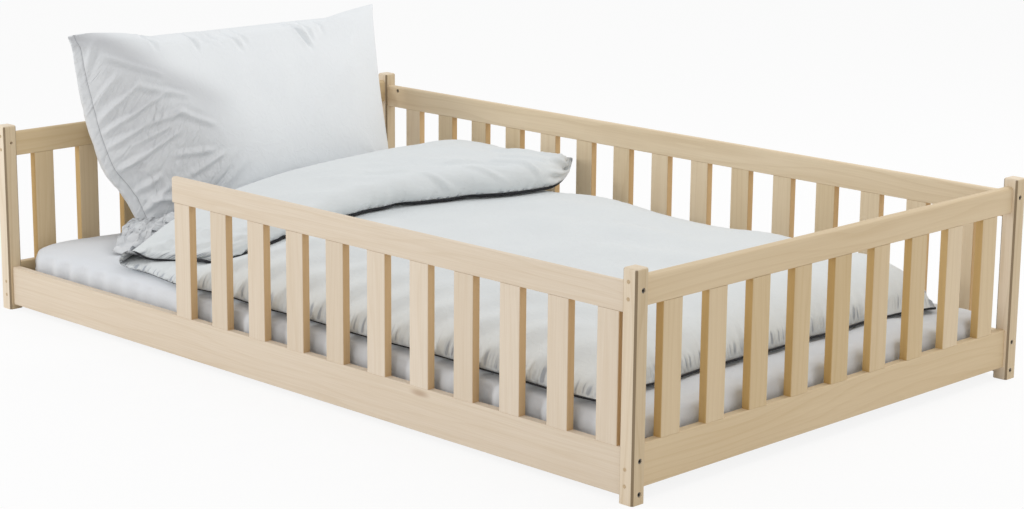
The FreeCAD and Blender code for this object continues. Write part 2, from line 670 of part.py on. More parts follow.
# Soft forms: sections of lines and arcs, lofted into one crowned solid.
def curve(points):
    # a run of arcs, each through three points of the list, ends shared
    edges = []
    for number in range(0, len(points) - 2, 2):
        edges.append(Part.Arc(points[number], points[number + 1], points[number + 2]).toShape())
    return edges


def line(start, end):
    return Part.LineSegment(start, end).toShape()


def soft(label, shape, place=None):
    piece = doc.addObject("Part::Feature", label + "_form")
    piece.Shape = shape
    if place is not None:
        piece.Placement = place
    return finish(piece, label)


doc.recompute()
mattress_top = mattress.Shape.BoundBox.ZMax
rest_level = mattress_top + size("soft_gap")
mattress_end = size("mattress_length") / 2
mattress_side = size("mattress_width") / 2
duvet_foot = mattress_end - size("duvet_foot_gap")
duvet_head = size("duvet_head_gap") - mattress_end
duvet_front = size("duvet_front_gap") - mattress_side
duvet_length = duvet_foot - duvet_head
duvet_width = mattress_side - size("duvet_back_gap") - duvet_front


# The duvet: a crowned lower layer, and the part that is turned back over it from the fold.
stack_height = size("duvet_loft") + size("flap_loft")


def duvet_section(row):
    place, height, foot, fold = row
    across = duvet_front + place * duvet_width
    edge_top = rest_level + size("duvet_edge")
    crown = edge_top + height * (size("duvet_loft") - size("duvet_edge"))
    foot_end = duvet_foot - foot * duvet_length
    head_end = duvet_head + fold * duvet_length
    slope = duvet_slope_share * duvet_length
    roll = duvet_roll_share * (crown - rest_level)
    slope_along, slope_up = slope_point_share

    def at(along, up):
        return Vector(along, across, up)
    shoulder = at(foot_end - slope_along * slope, edge_top + slope_up * (crown - edge_top))
    outline = [line(at(head_end, rest_level), at(foot_end, rest_level)),
               line(at(foot_end, rest_level), at(foot_end, edge_top))]
    outline += curve([
        at(foot_end, edge_top), shoulder, at(foot_end - slope, crown),
        at((foot_end + head_end) / 2, crown + size("duvet_edge") / 2), at(head_end + roll, crown),
        at(head_end, (crown + rest_level) / 2), at(head_end, rest_level)])
    return Part.Wire(outline)


def flap_section(row):
    place, fold, free, under, over = row
    across = duvet_front + place * (duvet_width + size("flap_reach"))
    bottom = rest_level + under * stack_height
    top = rest_level + over * stack_height
    end_top = bottom + flap_end_height_share * (top - bottom)
    head_end = duvet_head + fold * size("flap_length")
    foot_end = duvet_head + free * size("flap_length")
    nose = flap_end_share * (end_top - bottom)

    def at(along, up):
        return Vector(along, across, up)
    outline = [line(at(head_end + nose, bottom), at(foot_end - nose, bottom))]
    outline += curve([
        at(foot_end - nose, bottom), at(foot_end, (bottom + end_top) / 2), at(foot_end - nose, end_top),
        at((foot_end + head_end) / 2, top), at(head_end + nose, end_top),
        at(head_end, (bottom + end_top) / 2), at(head_end + nose, bottom)])
    return Part.Wire(outline)


duvet_layer = Part.makeLoft([duvet_section(row) for row in duvet_row_shares], True, False)
flap_layer = Part.makeLoft([flap_section(row) for row in flap_row_shares], True, False)
soft("duvet", duvet_layer.fuse(flap_layer))


# The pillow leans on the headboard and stands on the mattress, pressed flat where it touches.
pillow_front = size("pillow_front_gap") - mattress_side
pillow_back = mattress_side - size("pillow_back_gap")
pillow_width = pillow_back - pillow_front


def pillow_section(row):
    up, wide, thick = row
    level_up = up * size("pillow_height")
    half_width = wide * pillow_width / 2
    half_seam = size("pillow_seam") / 2
    half_depth = half_seam + thick * (size("pillow_thickness") - size("pillow_seam")) / 2

    def puffed(side):
        points = []
        for across, depth in ((0.5, 0.0), puff_end_share, puff_shoulder_share):
            points.append(Vector(side * (half_seam + depth * (half_depth - half_seam)),
                                 2 * across * half_width, level_up))
        points.append(Vector(side * half_depth, 0, level_up))
        points += [Vector(point.x, -point.y, level_up) for point in reversed(points[:-1])]
        return points
    front, back = puffed(1), puffed(-1)
    return Part.Wire(curve(front) + [line(front[-1], back[-1])] + curve(list(reversed(back)))
                     + [line(back[0], front[0])])


# A wide drum above the pillow draws its upper edge in between the corners.
pillow_form = Part.makeLoft([pillow_section(row) for row in pillow_row_shares], True, False)
drum_radius = ((pillow_width / 2) ** 2 + size("pillow_sag") ** 2) / (2 * size("pillow_sag"))
drum_axis = Vector(-size("pillow_thickness"), 0, size("pillow_height") - size("pillow_sag") + drum_radius)
pillow_form = pillow_form.cut(Part.makeCylinder(drum_radius, 2 * size("pillow_thickness"), drum_axis,
                                                Vector(1, 0, 0)))
headboard = -mattress_end - size("mattress_clearance")
pillow_form.Placement = FreeCAD.Placement(
    Vector(headboard + size("pillow_foot_distance"), (pillow_front + pillow_back) / 2,
           rest_level - size("pillow_settle")),
    FreeCAD.Rotation(Vector(0, 1, 0), -pillow_lean_degrees))
room = Part.makeBox(size("mattress_length"), size("mattress_width"), size("mattress_length"),
                    Vector(headboard + size("soft_gap"), -mattress_side, rest_level))
soft("pillow", pillow_form.common(room))

# Every object must have been made, and every piece must be a valid solid.
doc.recompute()
for thing in doc.Objects:
    if {"Invalid", "Error"} & set(thing.State):
        raise RuntimeError("%s was not made: %s" % (thing.Name, thing.State))
for piece in sub_parts:
    if piece.Shape.isNull() or not piece.Shape.isValid() or not piece.Shape.Solids:
        raise RuntimeError("%s is not a valid solid" % piece.Label)

os.makedirs("parts", exist_ok=True)
for piece in sub_parts:
    piece.Shape.exportStep("parts/%s.step" % piece.Label)
print("%d nodes, %d solids" % (len(sub_parts), sum(len(piece.Shape.Solids) for piece in sub_parts)))
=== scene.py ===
import math
import bpy
import numpy as np
from mathutils import Matrix, Vector


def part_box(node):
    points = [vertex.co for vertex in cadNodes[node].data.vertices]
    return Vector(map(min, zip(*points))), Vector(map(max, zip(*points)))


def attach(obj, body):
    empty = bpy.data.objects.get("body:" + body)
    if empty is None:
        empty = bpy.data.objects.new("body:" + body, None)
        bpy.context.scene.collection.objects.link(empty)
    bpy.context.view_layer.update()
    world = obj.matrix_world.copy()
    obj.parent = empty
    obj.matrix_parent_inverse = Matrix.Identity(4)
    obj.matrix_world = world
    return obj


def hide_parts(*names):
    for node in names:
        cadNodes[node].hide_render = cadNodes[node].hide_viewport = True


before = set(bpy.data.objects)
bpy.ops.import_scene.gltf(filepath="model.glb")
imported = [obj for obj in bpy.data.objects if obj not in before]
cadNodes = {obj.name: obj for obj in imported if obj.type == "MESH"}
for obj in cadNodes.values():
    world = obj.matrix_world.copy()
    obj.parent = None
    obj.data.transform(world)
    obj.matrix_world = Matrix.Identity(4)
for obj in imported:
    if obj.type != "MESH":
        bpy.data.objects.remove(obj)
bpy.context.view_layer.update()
print("loaded", len(cadNodes), "bed nodes")

camera = {
    "place": (3.84, -3.80, 1.455),
    "yaw": 45.366,       # degrees, 90 would look along +Y
    "pitch": 13.0,       # degrees down
    "roll": 0.512,
    "lens": 83.67, "sensor": 36,
    "farthest": 60,
}


def addCamera(c):
    yaw, pitch, roll = (math.radians(c[k]) for k in ("yaw", "pitch", "roll"))
    ahead = Vector((-math.cos(yaw) * math.cos(pitch), math.sin(yaw) * math.cos(pitch), -math.sin(pitch)))
    right = Vector((math.sin(yaw), math.cos(yaw), 0))
    up = right.cross(ahead)
    right, up = (math.cos(roll) * right + math.sin(roll) * up,
                 math.cos(roll) * up - math.sin(roll) * right)
    bpy.ops.object.camera_add()
    cam = bpy.context.object
    cam.name = "bedCamera"
    turn = Matrix((right, up, -ahead)).transposed().to_4x4()
    cam.matrix_world = Matrix.Translation(c["place"]) @ turn
    cam.data.sensor_fit = "HORIZONTAL"
    cam.data.sensor_width = c["sensor"]
    cam.data.lens = c["lens"]
    cam.data.clip_end = c["farthest"]
    bpy.context.scene.camera = cam


addCamera(camera)
bpy.context.scene.view_settings.view_transform = "Standard"
print("camera set")


def rgb(red, green, blue):
    # a colour as a paint chart gives it, 0 to 255, turned into the numbers a shader wants
    def straight(c):
        c /= 255
        return c / 12.92 if c <= 0.04045 else ((c + 0.055) / 1.055) ** 2.4
    return (straight(red), straight(green), straight(blue), 1)


class Wires:
    # adds nodes to one tree and joins them
    def __init__(self, tree):
        self.tree = tree

    def set(self, node, values):
        # an input takes another node's output or a plain value
        for name, value in values.items():
            if isinstance(value, bpy.types.NodeSocket):
                self.tree.links.new(value, node.inputs[name])
            else:
                node.inputs[name].default_value = value
        return node

    def add(self, kind, values=None, **settings):
        node = self.tree.nodes.new(kind)
        for name, value in settings.items():
            setattr(node, name, value)
        return self.set(node, values or {})

    def maths(self, operation, a, b=0.0, clamp=False):
        return self.add("ShaderNodeMath", {0: a, 1: b}, operation=operation, use_clamp=clamp).outputs[0]

    def plus(self, a, b):
        return self.maths("ADD", a, b)

    def minus(self, a, b):
        return self.maths("SUBTRACT", a, b)

    def times(self, a, b, clamp=False):
        return self.maths("MULTIPLY", a, b, clamp)

    def vectors(self, operation, values):
        return self.add("ShaderNodeVectorMath", values, operation=operation).outputs[0]

    def split(self, vector):
        return self.add("ShaderNodeSeparateXYZ", {0: vector}).outputs

    def mapped(self, vector, **changes):
        return self.add("ShaderNodeMapping", {"Vector": vector, **changes}).outputs[0]

    def noise(self, vector, scale=1.0, **extra):
        return self.add("ShaderNodeTexNoise", {"Vector": vector, "Scale": scale, **extra}).outputs["Fac"]

    def place(self, kind):
        return self.add("ShaderNodeTexCoord").outputs[kind]

    def attribute(self, name):
        return self.add("ShaderNodeAttribute", attribute_name=name).outputs["Fac"]

    def mixColour(self, share, a, b, blend="MIX"):
        # inputs 6 and 7 are the two colours, output 2 is what they give
        node = self.add("ShaderNodeMix", {"Factor": share, 6: a, 7: b}, data_type="RGBA", blend_type=blend)
        return node.outputs[2]

    def ramp(self, value, low, high, toLow=0.0, toHigh=1.0):
        node = self.add("ShaderNodeMapRange", {"Value": value, "From Min": low, "From Max": high,
                                               "To Min": toLow, "To Max": toHigh},
                        interpolation_type="SMOOTHSTEP")
        return node.outputs["Result"]

    def bump(self, height, strength, distance, under=None):
        # relief, on top of a coarser one where that is given
        values = {"Height": height, "Strength": strength, "Distance": distance}
        if under is not None:
            values["Normal"] = under
        return self.add("ShaderNodeBump", values).outputs[0]


def newGroup(name, inputs):
    # a group that gives a colour, a roughness and a height
    tree = bpy.data.node_groups.new(name, "ShaderNodeTree")
    for label, kind in inputs:
        tree.interface.new_socket(name=label, in_out="INPUT", socket_type="NodeSocket" + kind)
    for label, kind in (("Color", "Color"), ("Roughness", "Float"), ("Height", "Float")):
        tree.interface.new_socket(name=label, in_out="OUTPUT", socket_type="NodeSocket" + kind)
    return tree, Wires(tree), tree.nodes.new("NodeGroupInput").outputs, tree.nodes.new("NodeGroupOutput")


def startMaterial(name):
    material = bpy.data.materials.new(name)
    material.use_nodes = True
    tree = material.node_tree
    tree.nodes.clear()
    w = Wires(tree)
    surface = w.add("ShaderNodeBsdfPrincipled")
    w.add("ShaderNodeOutputMaterial", {"Surface": surface.outputs[0]})
    return material, w, surface


pineFigure = {
    # how finely each pattern is drawn along the board and twice across it, per metre
    "bend": (1.1, 9, 9), "fibre": (6, 420, 420), "streak": (1.6, 38, 38), "cloud": (2.2, 7, 7),
    "knots": (1.5, 5.5, 5.5),
    "boardShift": (7.0, 3.0, 3.0),          # no two boards are cut from the same spot
    "rings": 58.0, "ringSlant": 0.8, "ringBend": 7.0,
    "lateWood": (0.55, 0.96, 1.0),          # where in a ring the dark wood begins, is darkest and ends
    "streaks": (0.45, 0.72), "fibres": (0.35, 0.7), "knotRim": (0.015, 0.06),
    "ringShare": 0.55, "streakShare": 0.45, "fibreShare": 0.14, "knotShare": 0.5, "cloudShare": 0.25,
    "fade": 0.35, "lighten": 0.22,          # how a board's own tone shows
    "roughness": (0.50, 0.16),              # at least, and how much the fibre adds
    "fibreHeight": 0.6, "ringHeight": 0.4,
}


def makePineGroup(p):
    tree, w, given, out = newGroup("pineGrain", [
        ("Vector", "Vector"), ("Board", "Vector"), ("Wood", "Color"), ("Grain", "Color"),
        ("Knot", "Color"), ("Board Change", "Float"), ("Grain Strength", "Float")])
    whole = w.vectors("FLOOR", {0: given["Board"]})
    board = w.add("ShaderNodeTexWhiteNoise", {"Vector": whole}, noise_dimensions="3D").outputs
    shift = w.vectors("MULTIPLY", {0: board["Color"], 1: p["boardShift"]})
    spot = w.vectors("ADD", {0: given["Vector"], 1: shift})        # X runs along the board
    bend = w.noise(w.mapped(spot, Scale=p["bend"]), Detail=2.0)
    fibre = w.noise(w.mapped(spot, Scale=p["fibre"]), Detail=3.0, Roughness=0.6)
    streak = w.noise(w.mapped(spot, Scale=p["streak"]), Detail=2.0)
    cloud = w.noise(w.mapped(spot, Scale=p["cloud"]), Detail=1.0)
    knots = w.add("ShaderNodeTexVoronoi", {"Vector": w.mapped(spot, Scale=p["knots"]), "Scale": 1.0,
                                           "Randomness": 1.0})
    parts = w.split(spot)
    across = w.plus(parts["Y"], w.times(parts["Z"], p["ringSlant"]))
    wave = w.maths("FRACT", w.plus(w.times(across, p["rings"]), w.times(bend, p["ringBend"])))
    begins, darkest, ends = p["lateWood"]
    ring = w.times(w.ramp(wave, begins, darkest), w.ramp(wave, darkest, ends, 1.0, 0.0))
    lines = w.plus(w.times(ring, p["ringShare"]),
                   w.times(w.ramp(streak, *p["streaks"]), p["streakShare"]))
    lines = w.times(lines, given["Grain Strength"], clamp=True)
    knot = w.times(w.ramp(knots.outputs["Distance"], *p["knotRim"], 1.0, 0.0), p["knotShare"])
    colour = w.mixColour(lines, given["Wood"], given["Grain"])
    colour = w.mixColour(w.times(w.ramp(fibre, *p["fibres"]), p["fibreShare"]), colour, given["Grain"])
    colour = w.mixColour(knot, colour, given["Knot"])
    tone = w.plus(w.times(w.minus(board["Value"], 0.5), given["Board Change"]),
                  w.times(w.minus(cloud, 0.5), p["cloudShare"]))
    shade = w.add("ShaderNodeHueSaturation", {
        "Hue": 0.5, "Saturation": w.minus(1.0, w.times(tone, p["fade"])),
        "Value": w.plus(1.0, w.times(tone, p["lighten"])), "Color": colour})
    least, more = p["roughness"]
    w.set(out, {"Color": shade.outputs["Color"], "Roughness": w.plus(least, w.times(fibre, more)),
                "Height": w.plus(w.times(fibre, p["fibreHeight"]), w.times(ring, p["ringHeight"]))})
    return tree


pineGrain = makePineGroup(pineFigure)
pineColours = {
    "front": rgb(231, 216, 196),     # the front boards and slats, the palest
    "end": rgb(214, 192, 156),       # head and foot panels, darker than the front: partly the wood's own tone, partly painted shade on faces turned from the light
    # darker than the front: partly the wood's own tone, partly painted shade on faces turned from the light
    "back": rgb(228, 209, 178),
    "post": rgb(236, 220, 197),
    "grain": rgb(190, 161, 116),
    "knot": rgb(156, 114, 70),
    "frontEdgeShade": rgb(224, 196, 146),  # painted shade on the narrow sides of the slats along the bed
    "endEdgeShade": rgb(232, 210, 152),  # painted shade on the narrow sides of those at its ends
    # painted shade on the posts' faces that look along the bed's length
    "postSideShade": rgb(222, 214, 194),
    # painted shade on the posts' chamfers
    "chamfer": rgb(112, 90, 58),
}
pineSides = {
    "narrow": (0.55, 0.95),          # how squarely a face looks along an axis to count as a narrow side
    "slanting": (0.25, 0.42),        # the same for a chamfer, which looks along two
    # how much of the painted shade shows
    "shadeShare": 0.8,
}
alongX = (0, 0, 0)
alongY = (0, 0, -math.pi / 2)
alongZ = (0, math.pi / 2, 0)


def pineMaterial(name, wood, turn, cells, edgeAxis=None, edge=None, chamfered=False, change=0.5,
                 strength=0.30):
    # cells: (scale, shift) of the cells that tell one board from the next
    material, w, surface = startMaterial(name)
    where = w.place("Object")
    grain = w.set(w.add("ShaderNodeGroup", node_tree=pineGrain), {
        "Vector": w.mapped(where, Rotation=turn),
        "Board": w.mapped(where, Scale=cells[0], Location=cells[1]),
        "Wood": wood, "Grain": pineColours["grain"], "Knot": pineColours["knot"],
        "Board Change": change, "Grain Strength": strength}).outputs
    colour = grain["Color"]
    facing = w.split(w.add("ShaderNodeNewGeometry").outputs["Normal"])
    # painted shade on the faces that look along edgeAxis: the slats' narrow sides and the posts' sides
    if edgeAxis:
        narrow = w.ramp(w.maths("ABSOLUTE", facing[edgeAxis]), *pineSides["narrow"])
        shadedSides = w.mixColour(1.0, colour, pineColours[edge], "MULTIPLY")
        colour = w.mixColour(w.times(narrow, pineSides["shadeShare"]), colour, shadedSides)
    # painted shade: a dark strip on the chamfer between the two faces
    if chamfered:
        slant = w.times(w.maths("ABSOLUTE", facing["X"]), w.maths("ABSOLUTE", facing["Y"]))
        slant = w.times(w.ramp(slant, *pineSides["slanting"]), pineSides["shadeShare"])
        colour = w.mixColour(slant, colour, pineColours["chamfer"])
    w.set(surface, {"Base Color": colour, "Roughness": grain["Roughness"],
                    "Normal": w.bump(grain["Height"], 0.25, 0.0004),
                    "Specular IOR Level": 0.35, "Coat Weight": 0.06, "Coat Roughness": 0.35})
    return material


def slatCells(first, second, axis):
    # cells as wide as the pitch between two slats, with a slat in the middle of each
    low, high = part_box(first)
    nextLow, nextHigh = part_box(second)
    pitch = (nextLow - low)[axis]
    middle = (low + high)[axis] / 2
    scale, shift = [1.0, 1.0, 0.0], [0.0, 0.0, 0.0]
    scale[axis] = 1 / pitch
    shift[axis] = 0.5 - middle / pitch
    return tuple(scale), tuple(shift)


backPitch = 0.1287              # the slats of the back, and of the base, share a node each
basePerMetre = 7.2
boardCells = ((0.0, 1.0, 4.0), (0, 0, 0))       # one cell to a long board or rail
endBoardCells = ((1.0, 0.0, 4.0), (0, 0, 0))
postCells = ((1.0, 1.0, 0.0), (5, 3, 0))
frontCells = slatCells("front_slat_1", "front_slat_2", 0)
endCells = slatCells("foot_slat_1", "foot_slat_2", 1)
backCells = ((1 / backPitch, 1.0, 0.0), (0.5, 0, 0))
baseCells = ((basePerMetre, 0.0, 0.0), (0.5, 0, 0))

woodKinds = {
    "frontBoard": ("front", alongX, boardCells, {"change": 0.3, "strength": 0.16}),
    "frontSlat": ("front", alongZ, frontCells,
                  {"edgeAxis": "X", "edge": "frontEdgeShade", "change": 0.5, "strength": 0.13}),
    "backBoard": ("back", alongX, boardCells, {"change": 0.4}),
    "backSlat": ("back", alongZ, backCells,
                 {"edgeAxis": "X", "edge": "frontEdgeShade", "change": 0.7, "strength": 0.22}),
    "endBoard": ("end", alongY, endBoardCells, {"change": 0.4}),
    "endSlat": ("end", alongZ, endCells,
                {"edgeAxis": "Y", "edge": "endEdgeShade", "change": 0.7, "strength": 0.26}),
    "post": ("post", alongZ, postCells,
             {"edgeAxis": "X", "edge": "postSideShade", "chamfered": True, "change": 0.4}),
    "ledger": ("back", alongX, boardCells, {"change": 0.6, "strength": 0.8}),
    "baseSlat": ("back", alongY, baseCells, {"change": 1.0, "strength": 0.8}),
}
woods = {kind: pineMaterial(kind + "Pine", pineColours[colour], turn, cells, **settings)
         for kind, (colour, turn, cells, settings) in woodKinds.items()}


def pegMaterial():
    material, w, surface = startMaterial("pegBeech")
    fleck = w.noise(w.place("Object"), 900.0, Detail=3.0)
    w.set(surface, {"Base Color": w.mixColour(fleck, rgb(214, 192, 158), rgb(176, 146, 106)),
                    "Roughness": w.ramp(fleck, 0.2, 0.8, 0.45, 0.65)})
    return material


def zincMaterial():
    material, w, surface = startMaterial("platedSteel")
    blotch = w.noise(w.place("Object"), 260.0, Detail=4.0)
    w.set(surface, {"Base Color": w.mixColour(blotch, rgb(138, 135, 130), rgb(92, 89, 84)),
                    "Roughness": w.ramp(blotch, 0.3, 0.7, 0.28, 0.46), "Metallic": 1.0})
    return material


def webbingMaterial():
    material, w, surface = startMaterial("wovenWebbing")
    where = w.place("Object")
    ribs, rows = (w.add("ShaderNodeTexWave", {"Vector": where, "Scale": scale}, bands_direction=way)
                  for way, scale in (("X", 260.0), ("Y", 180.0)))
    weave = w.times(ribs.outputs["Fac"], rows.outputs["Fac"])
    w.set(surface, {"Base Color": w.mixColour(weave, rgb(196, 190, 176), rgb(222, 218, 208)),
                    "Roughness": 0.85, "Normal": w.bump(weave, 0.5, 0.0004)})
    return material


fittings = {"peg": pegMaterial(), "steel": zincMaterial(), "webbing": webbingMaterial()}
softNodes = ("mattress", "duvet", "pillow")
ownFinish = {
    "base_slats": woods["baseSlat"], "ledger_front": woods["ledger"], "ledger_back": woods["ledger"],
    "wooden_pegs": fittings["peg"], "base_straps": fittings["webbing"],
}


def finishFor(node):
    side = "front" if node.startswith("front") else "back" if node.startswith("back") else "end"
    if node in ownFinish:
        return ownFinish[node]
    if node.startswith("post_"):
        return woods["post"]
    if "slat" in node:
        return woods[side + "Slat"]
    if node.endswith(("_rail", "_board")):
        return woods[side + "Board"]
    return fittings["steel"]


for nodeName, node in cadNodes.items():
    if nodeName not in softNodes:
        finish = finishFor(nodeName)
        for holder in node.material_slots:
            holder.material = finish
print("frame finished in", len(woods) + len(fittings), "materials")

clothFigure = {
    "threads": 1800.0,                    # radians a metre, so one thread every 1.7 mm
    "softScale": 9.0, "creaseScale": 34.0,
    "creaseWidth": 0.09,
    "clouds": (0.3, 0.7, 0.0, 0.12), "weaveShare": 0.10,
    "roughness": (0.72, 0.16),            # at least, and how much the soft pattern adds
    "weaveHeight": 0.08, "creaseHeight": 0.9,
}


def makeClothGroup(f):
    tree, w, given, out = newGroup("plainWeave", [
        ("Vector", "Vector"), ("Cloth", "Color"), ("Shade", "Color"), ("Crumple", "Float")])
    fine = w.split(w.vectors("SCALE", {0: given["Vector"], "Scale": f["threads"]}))
    warp, weft = (w.maths("ABSOLUTE", w.maths("SINE", fine[way])) for way in ("X", "Y"))
    weave = w.times(warp, weft)
    soft = w.noise(given["Vector"], f["softScale"], Detail=3.0, Roughness=0.55)
    creases = w.noise(given["Vector"], f["creaseScale"], Detail=2.0, Distortion=0.6)
    ridge = w.maths("ABSOLUTE", w.minus(creases, 0.5))
    fold = w.times(w.ramp(ridge, 0.0, f["creaseWidth"], 1.0, 0.0), given["Crumple"])
    colour = w.mixColour(w.ramp(soft, *f["clouds"]), given["Cloth"], given["Shade"])
    colour = w.mixColour(w.times(weave, f["weaveShare"]), colour, given["Shade"])
    least, more = f["roughness"]
    w.set(out, {"Color": colour, "Roughness": w.plus(least, w.times(soft, more)),
                "Height": w.plus(w.times(weave, f["weaveHeight"]), w.times(fold, f["creaseHeight"]))})
    return tree


plainWeave = makeClothGroup(clothFigure)


def startCloth(name, cloth, shade, crumple, kind="UV"):
    material, w, surface = startMaterial(name)
    where = w.place(kind)
    weave = w.set(w.add("ShaderNodeGroup", node_tree=plainWeave),
                  {"Vector": where, "Cloth": cloth, "Shade": shade, "Crumple": crumple})
    return material, w, surface, where, weave.outputs


def finishCloth(w, surface, weave, colour, folds=None):
    w.set(surface, {"Base Color": colour, "Roughness": weave["Roughness"],
                    "Normal": w.bump(weave["Height"], 0.35, 0.002, folds),
                    "Sheen Weight": 0.15, "Sheen Roughness": 0.5, "Specular IOR Level": 0.3})


def sheetMaterial():
    material, w, surface, where, weave = startCloth(
        "fittedSheetCotton", rgb(226, 229, 233), rgb(204, 208, 216), 0.25, "Object")
    finishCloth(w, surface, weave, weave["Color"])
    return material


def sawtooth(x):
    return np.arcsin(np.sin(x)) * 2 / math.pi


def waviness(a, b, shortest, longest, seed, count=14, shape=np.sin):
    # seeded noise between about -1 and 1 from a few crossing waves, smooth or with flat facets
    dice = np.random.default_rng(seed)
    total = np.zeros_like(a)
    for _ in range(count):
        length = dice.uniform(shortest, longest)
        heading, start = dice.uniform(0, math.tau, 2)
        total += shape((a * math.cos(heading) + b * math.sin(heading)) * math.tau / length + start)
    return total / math.sqrt(count)


def ripples(along, shortest, longest, seed, count=9):
    # the same along one line, for puckers at a seam
    dice = np.random.default_rng(seed)
    total = np.zeros_like(along)
    for _ in range(count):
        total += np.sin(along * math.tau / dice.uniform(shortest, longest) + dice.uniform(0, math.tau))
    return total / math.sqrt(count)


def smooth(x, low, high):
    t = np.clip((x - low) / (high - low), 0, 1)
    return t * t * (3 - 2 * t)


def partOf(x, start, end):
    return np.clip((x - start) / (end - start), 0, 1)


def between(a, b, share):
    return a + (b - a) * share


def stepped(x, level, *steps):
    # a level that changes smoothly by each step's height, from its first x to its second
    for height, first, second in steps:
        level = level + height * smooth(x, first, second)
    return level


def domed(distance, width):
    # quick rise from a seam, then level
    return np.sqrt(np.clip(1 - (1 - np.clip(distance / width, 0, 1)) ** 2.4, 0, 1))


def alongLine(points, y):
    # a smooth line through measured places, as x for each y
    ys, xs = np.array([p[0] for p in points]), np.array([p[1] for p in points])
    slopes = np.gradient(xs, ys)
    i = np.clip(np.searchsorted(ys, y) - 1, 0, len(ys) - 2)
    h = ys[i + 1] - ys[i]
    t = np.clip((y - ys[i]) / h, 0, 1)
    return ((2 * t**3 - 3 * t**2 + 1) * xs[i] + (t**3 - 2 * t**2 + t) * h * slopes[i]
            + (3 * t**2 - 2 * t**3) * xs[i + 1] + (t**3 - t**2) * h * slopes[i + 1])


def readVectors(items, label):
    flat = np.empty(len(items) * 3)
    items.foreach_get(label, flat)
    return flat.reshape(-1, 3)


def readPoints(piece):
    return readVectors(piece.data.vertices, "co")


def readNormals(piece):
    return readVectors(piece.data.vertices, "normal")


def writePoints(piece, points):
    piece.data.vertices.foreach_set("co", points.ravel())
    piece.data.update()


def writeMark(piece, label, values):
    mark = piece.data.attributes.new(label, "FLOAT", "POINT")
    mark.data.foreach_set("value", values.astype(np.float32))


def scaleUv(piece, width, height):
    layer = piece.data.uv_layers.active.data
    flat = np.empty(len(layer) * 2)
    layer.foreach_get("uv", flat)
    flat = flat.reshape(-1, 2) * (width, height)
    layer.foreach_set("uv", flat.ravel())


def select(piece):
    bpy.ops.object.select_all(action="DESELECT")
    piece.select_set(True)
    bpy.context.view_layer.objects.active = piece


def dress(piece, material):
    piece.data.materials.clear()
    piece.data.materials.append(material)


def newGrid(name, columns, rows):
    bpy.ops.object.select_all(action="DESELECT")
    bpy.ops.mesh.primitive_grid_add(x_subdivisions=columns, y_subdivisions=rows, size=1, calc_uvs=True)
    piece = bpy.context.object
    piece.name = piece.data.name = name
    return piece


def pairedGrid(name, columns, rows):
    # two skins, face to face, each a grid; returns the object and each vertex's place on the grid and side
    piece = newGrid(name, columns, rows)
    bpy.ops.object.mode_set(mode="EDIT")
    bpy.ops.mesh.select_all(action="SELECT")
    bpy.ops.mesh.duplicate()
    bpy.ops.mesh.flip_normals()
    bpy.ops.transform.translate(value=(0, 0, -1))
    bpy.ops.object.mode_set(mode="OBJECT")
    raw = readPoints(piece)
    return piece, raw[:, 0] + 0.5, raw[:, 1] + 0.5, np.where(raw[:, 2] > -0.5, 1.0, -1.0)


def enclosed(piece):
    # volume inside the mesh, below zero where its faces look inwards
    piece.data.calc_loop_triangles()
    corners = np.empty(len(piece.data.loop_triangles) * 3, np.int32)
    piece.data.loop_triangles.foreach_get("vertices", corners)
    a, b, c = readPoints(piece)[corners.reshape(-1, 3)].transpose(1, 0, 2)
    return float(np.einsum("ij,ij->i", a, np.cross(b, c)).sum() / 6)


def closeSeam(piece):
    select(piece)
    bpy.ops.object.mode_set(mode="EDIT")
    bpy.ops.mesh.select_all(action="SELECT")
    bpy.ops.mesh.remove_doubles(threshold=0.00002)
    bpy.ops.object.mode_set(mode="OBJECT")
    if enclosed(piece) < 0:
        bpy.ops.object.mode_set(mode="EDIT")
        bpy.ops.mesh.select_all(action="SELECT")
        bpy.ops.mesh.flip_normals()
        bpy.ops.object.mode_set(mode="OBJECT")
    bpy.ops.object.shade_smooth()


def addCreases(points, normals, y, z, lines, strength, wide):
    # ridges along short lines, with a shallow trough on either side, fading past their ends
    fadeOut, trough = 0.018, 0.9
    for y0, z0, y1, z1, depth in lines:
        run = math.hypot(y1 - y0, z1 - z0)
        t = ((y - y0) * (y1 - y0) + (z - z0) * (z1 - z0)) / run**2
        off = ((y - y0) * (z1 - z0) - (z - z0) * (y1 - y0)) / run / wide
        past = np.maximum(np.maximum(-t, t - 1) * run, 0)
        shape = (1 - trough * off**2) * np.exp(-0.5 * off**2) * np.exp(-(past / fadeOut) ** 2)
        points = points + normals * (shape * strength * depth / 1000)[:, None]
    return points


fittedSheet = {
    "cell": 0.008,                                        # of the remeshed foam
    "puff": 0.0045, "puffWidths": (0.0455, 0.0975),       # puckers round the sides
    "wave": 0.0026, "waveLengths": (0.25, 0.6), "acrossTheBed": 2.2,
    "sideward": (0.35, 0.8), "upward": (0.6, 0.9),        # how far up a face looks to be a side or the top
}


def makeMattress(s):
    source = cadNodes["mattress"]
    piece = bpy.data.objects.new("fittedMattress", source.data.copy())
    bpy.context.collection.objects.link(piece)
    closeSeam(piece)
    piece.data.remesh_voxel_size = s["cell"]
    bpy.ops.object.voxel_remesh()
    p, n = readPoints(piece), readNormals(piece)
    side = 1 - smooth(np.abs(n[:, 2]), *s["sideward"])
    top = smooth(n[:, 2], *s["upward"])
    along = np.where(np.abs(n[:, 0]) > np.abs(n[:, 1]), p[:, 1], p[:, 0])
    puffs = ripples(along, *s["puffWidths"], 5)
    wave = waviness(p[:, 0], p[:, 1] * s["acrossTheBed"], *s["waveLengths"], 11)
    move = side * (puffs * s["puff"] - s["puff"]) + top * (wave * s["wave"] - s["wave"])
    writePoints(piece, p + n * move[:, None])
    bpy.ops.object.shade_smooth()
    dress(piece, sheetMaterial())
    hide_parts("mattress")
    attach(piece, "mattress")
    print("mattress:", len(p), "points")


makeMattress(fittedSheet)

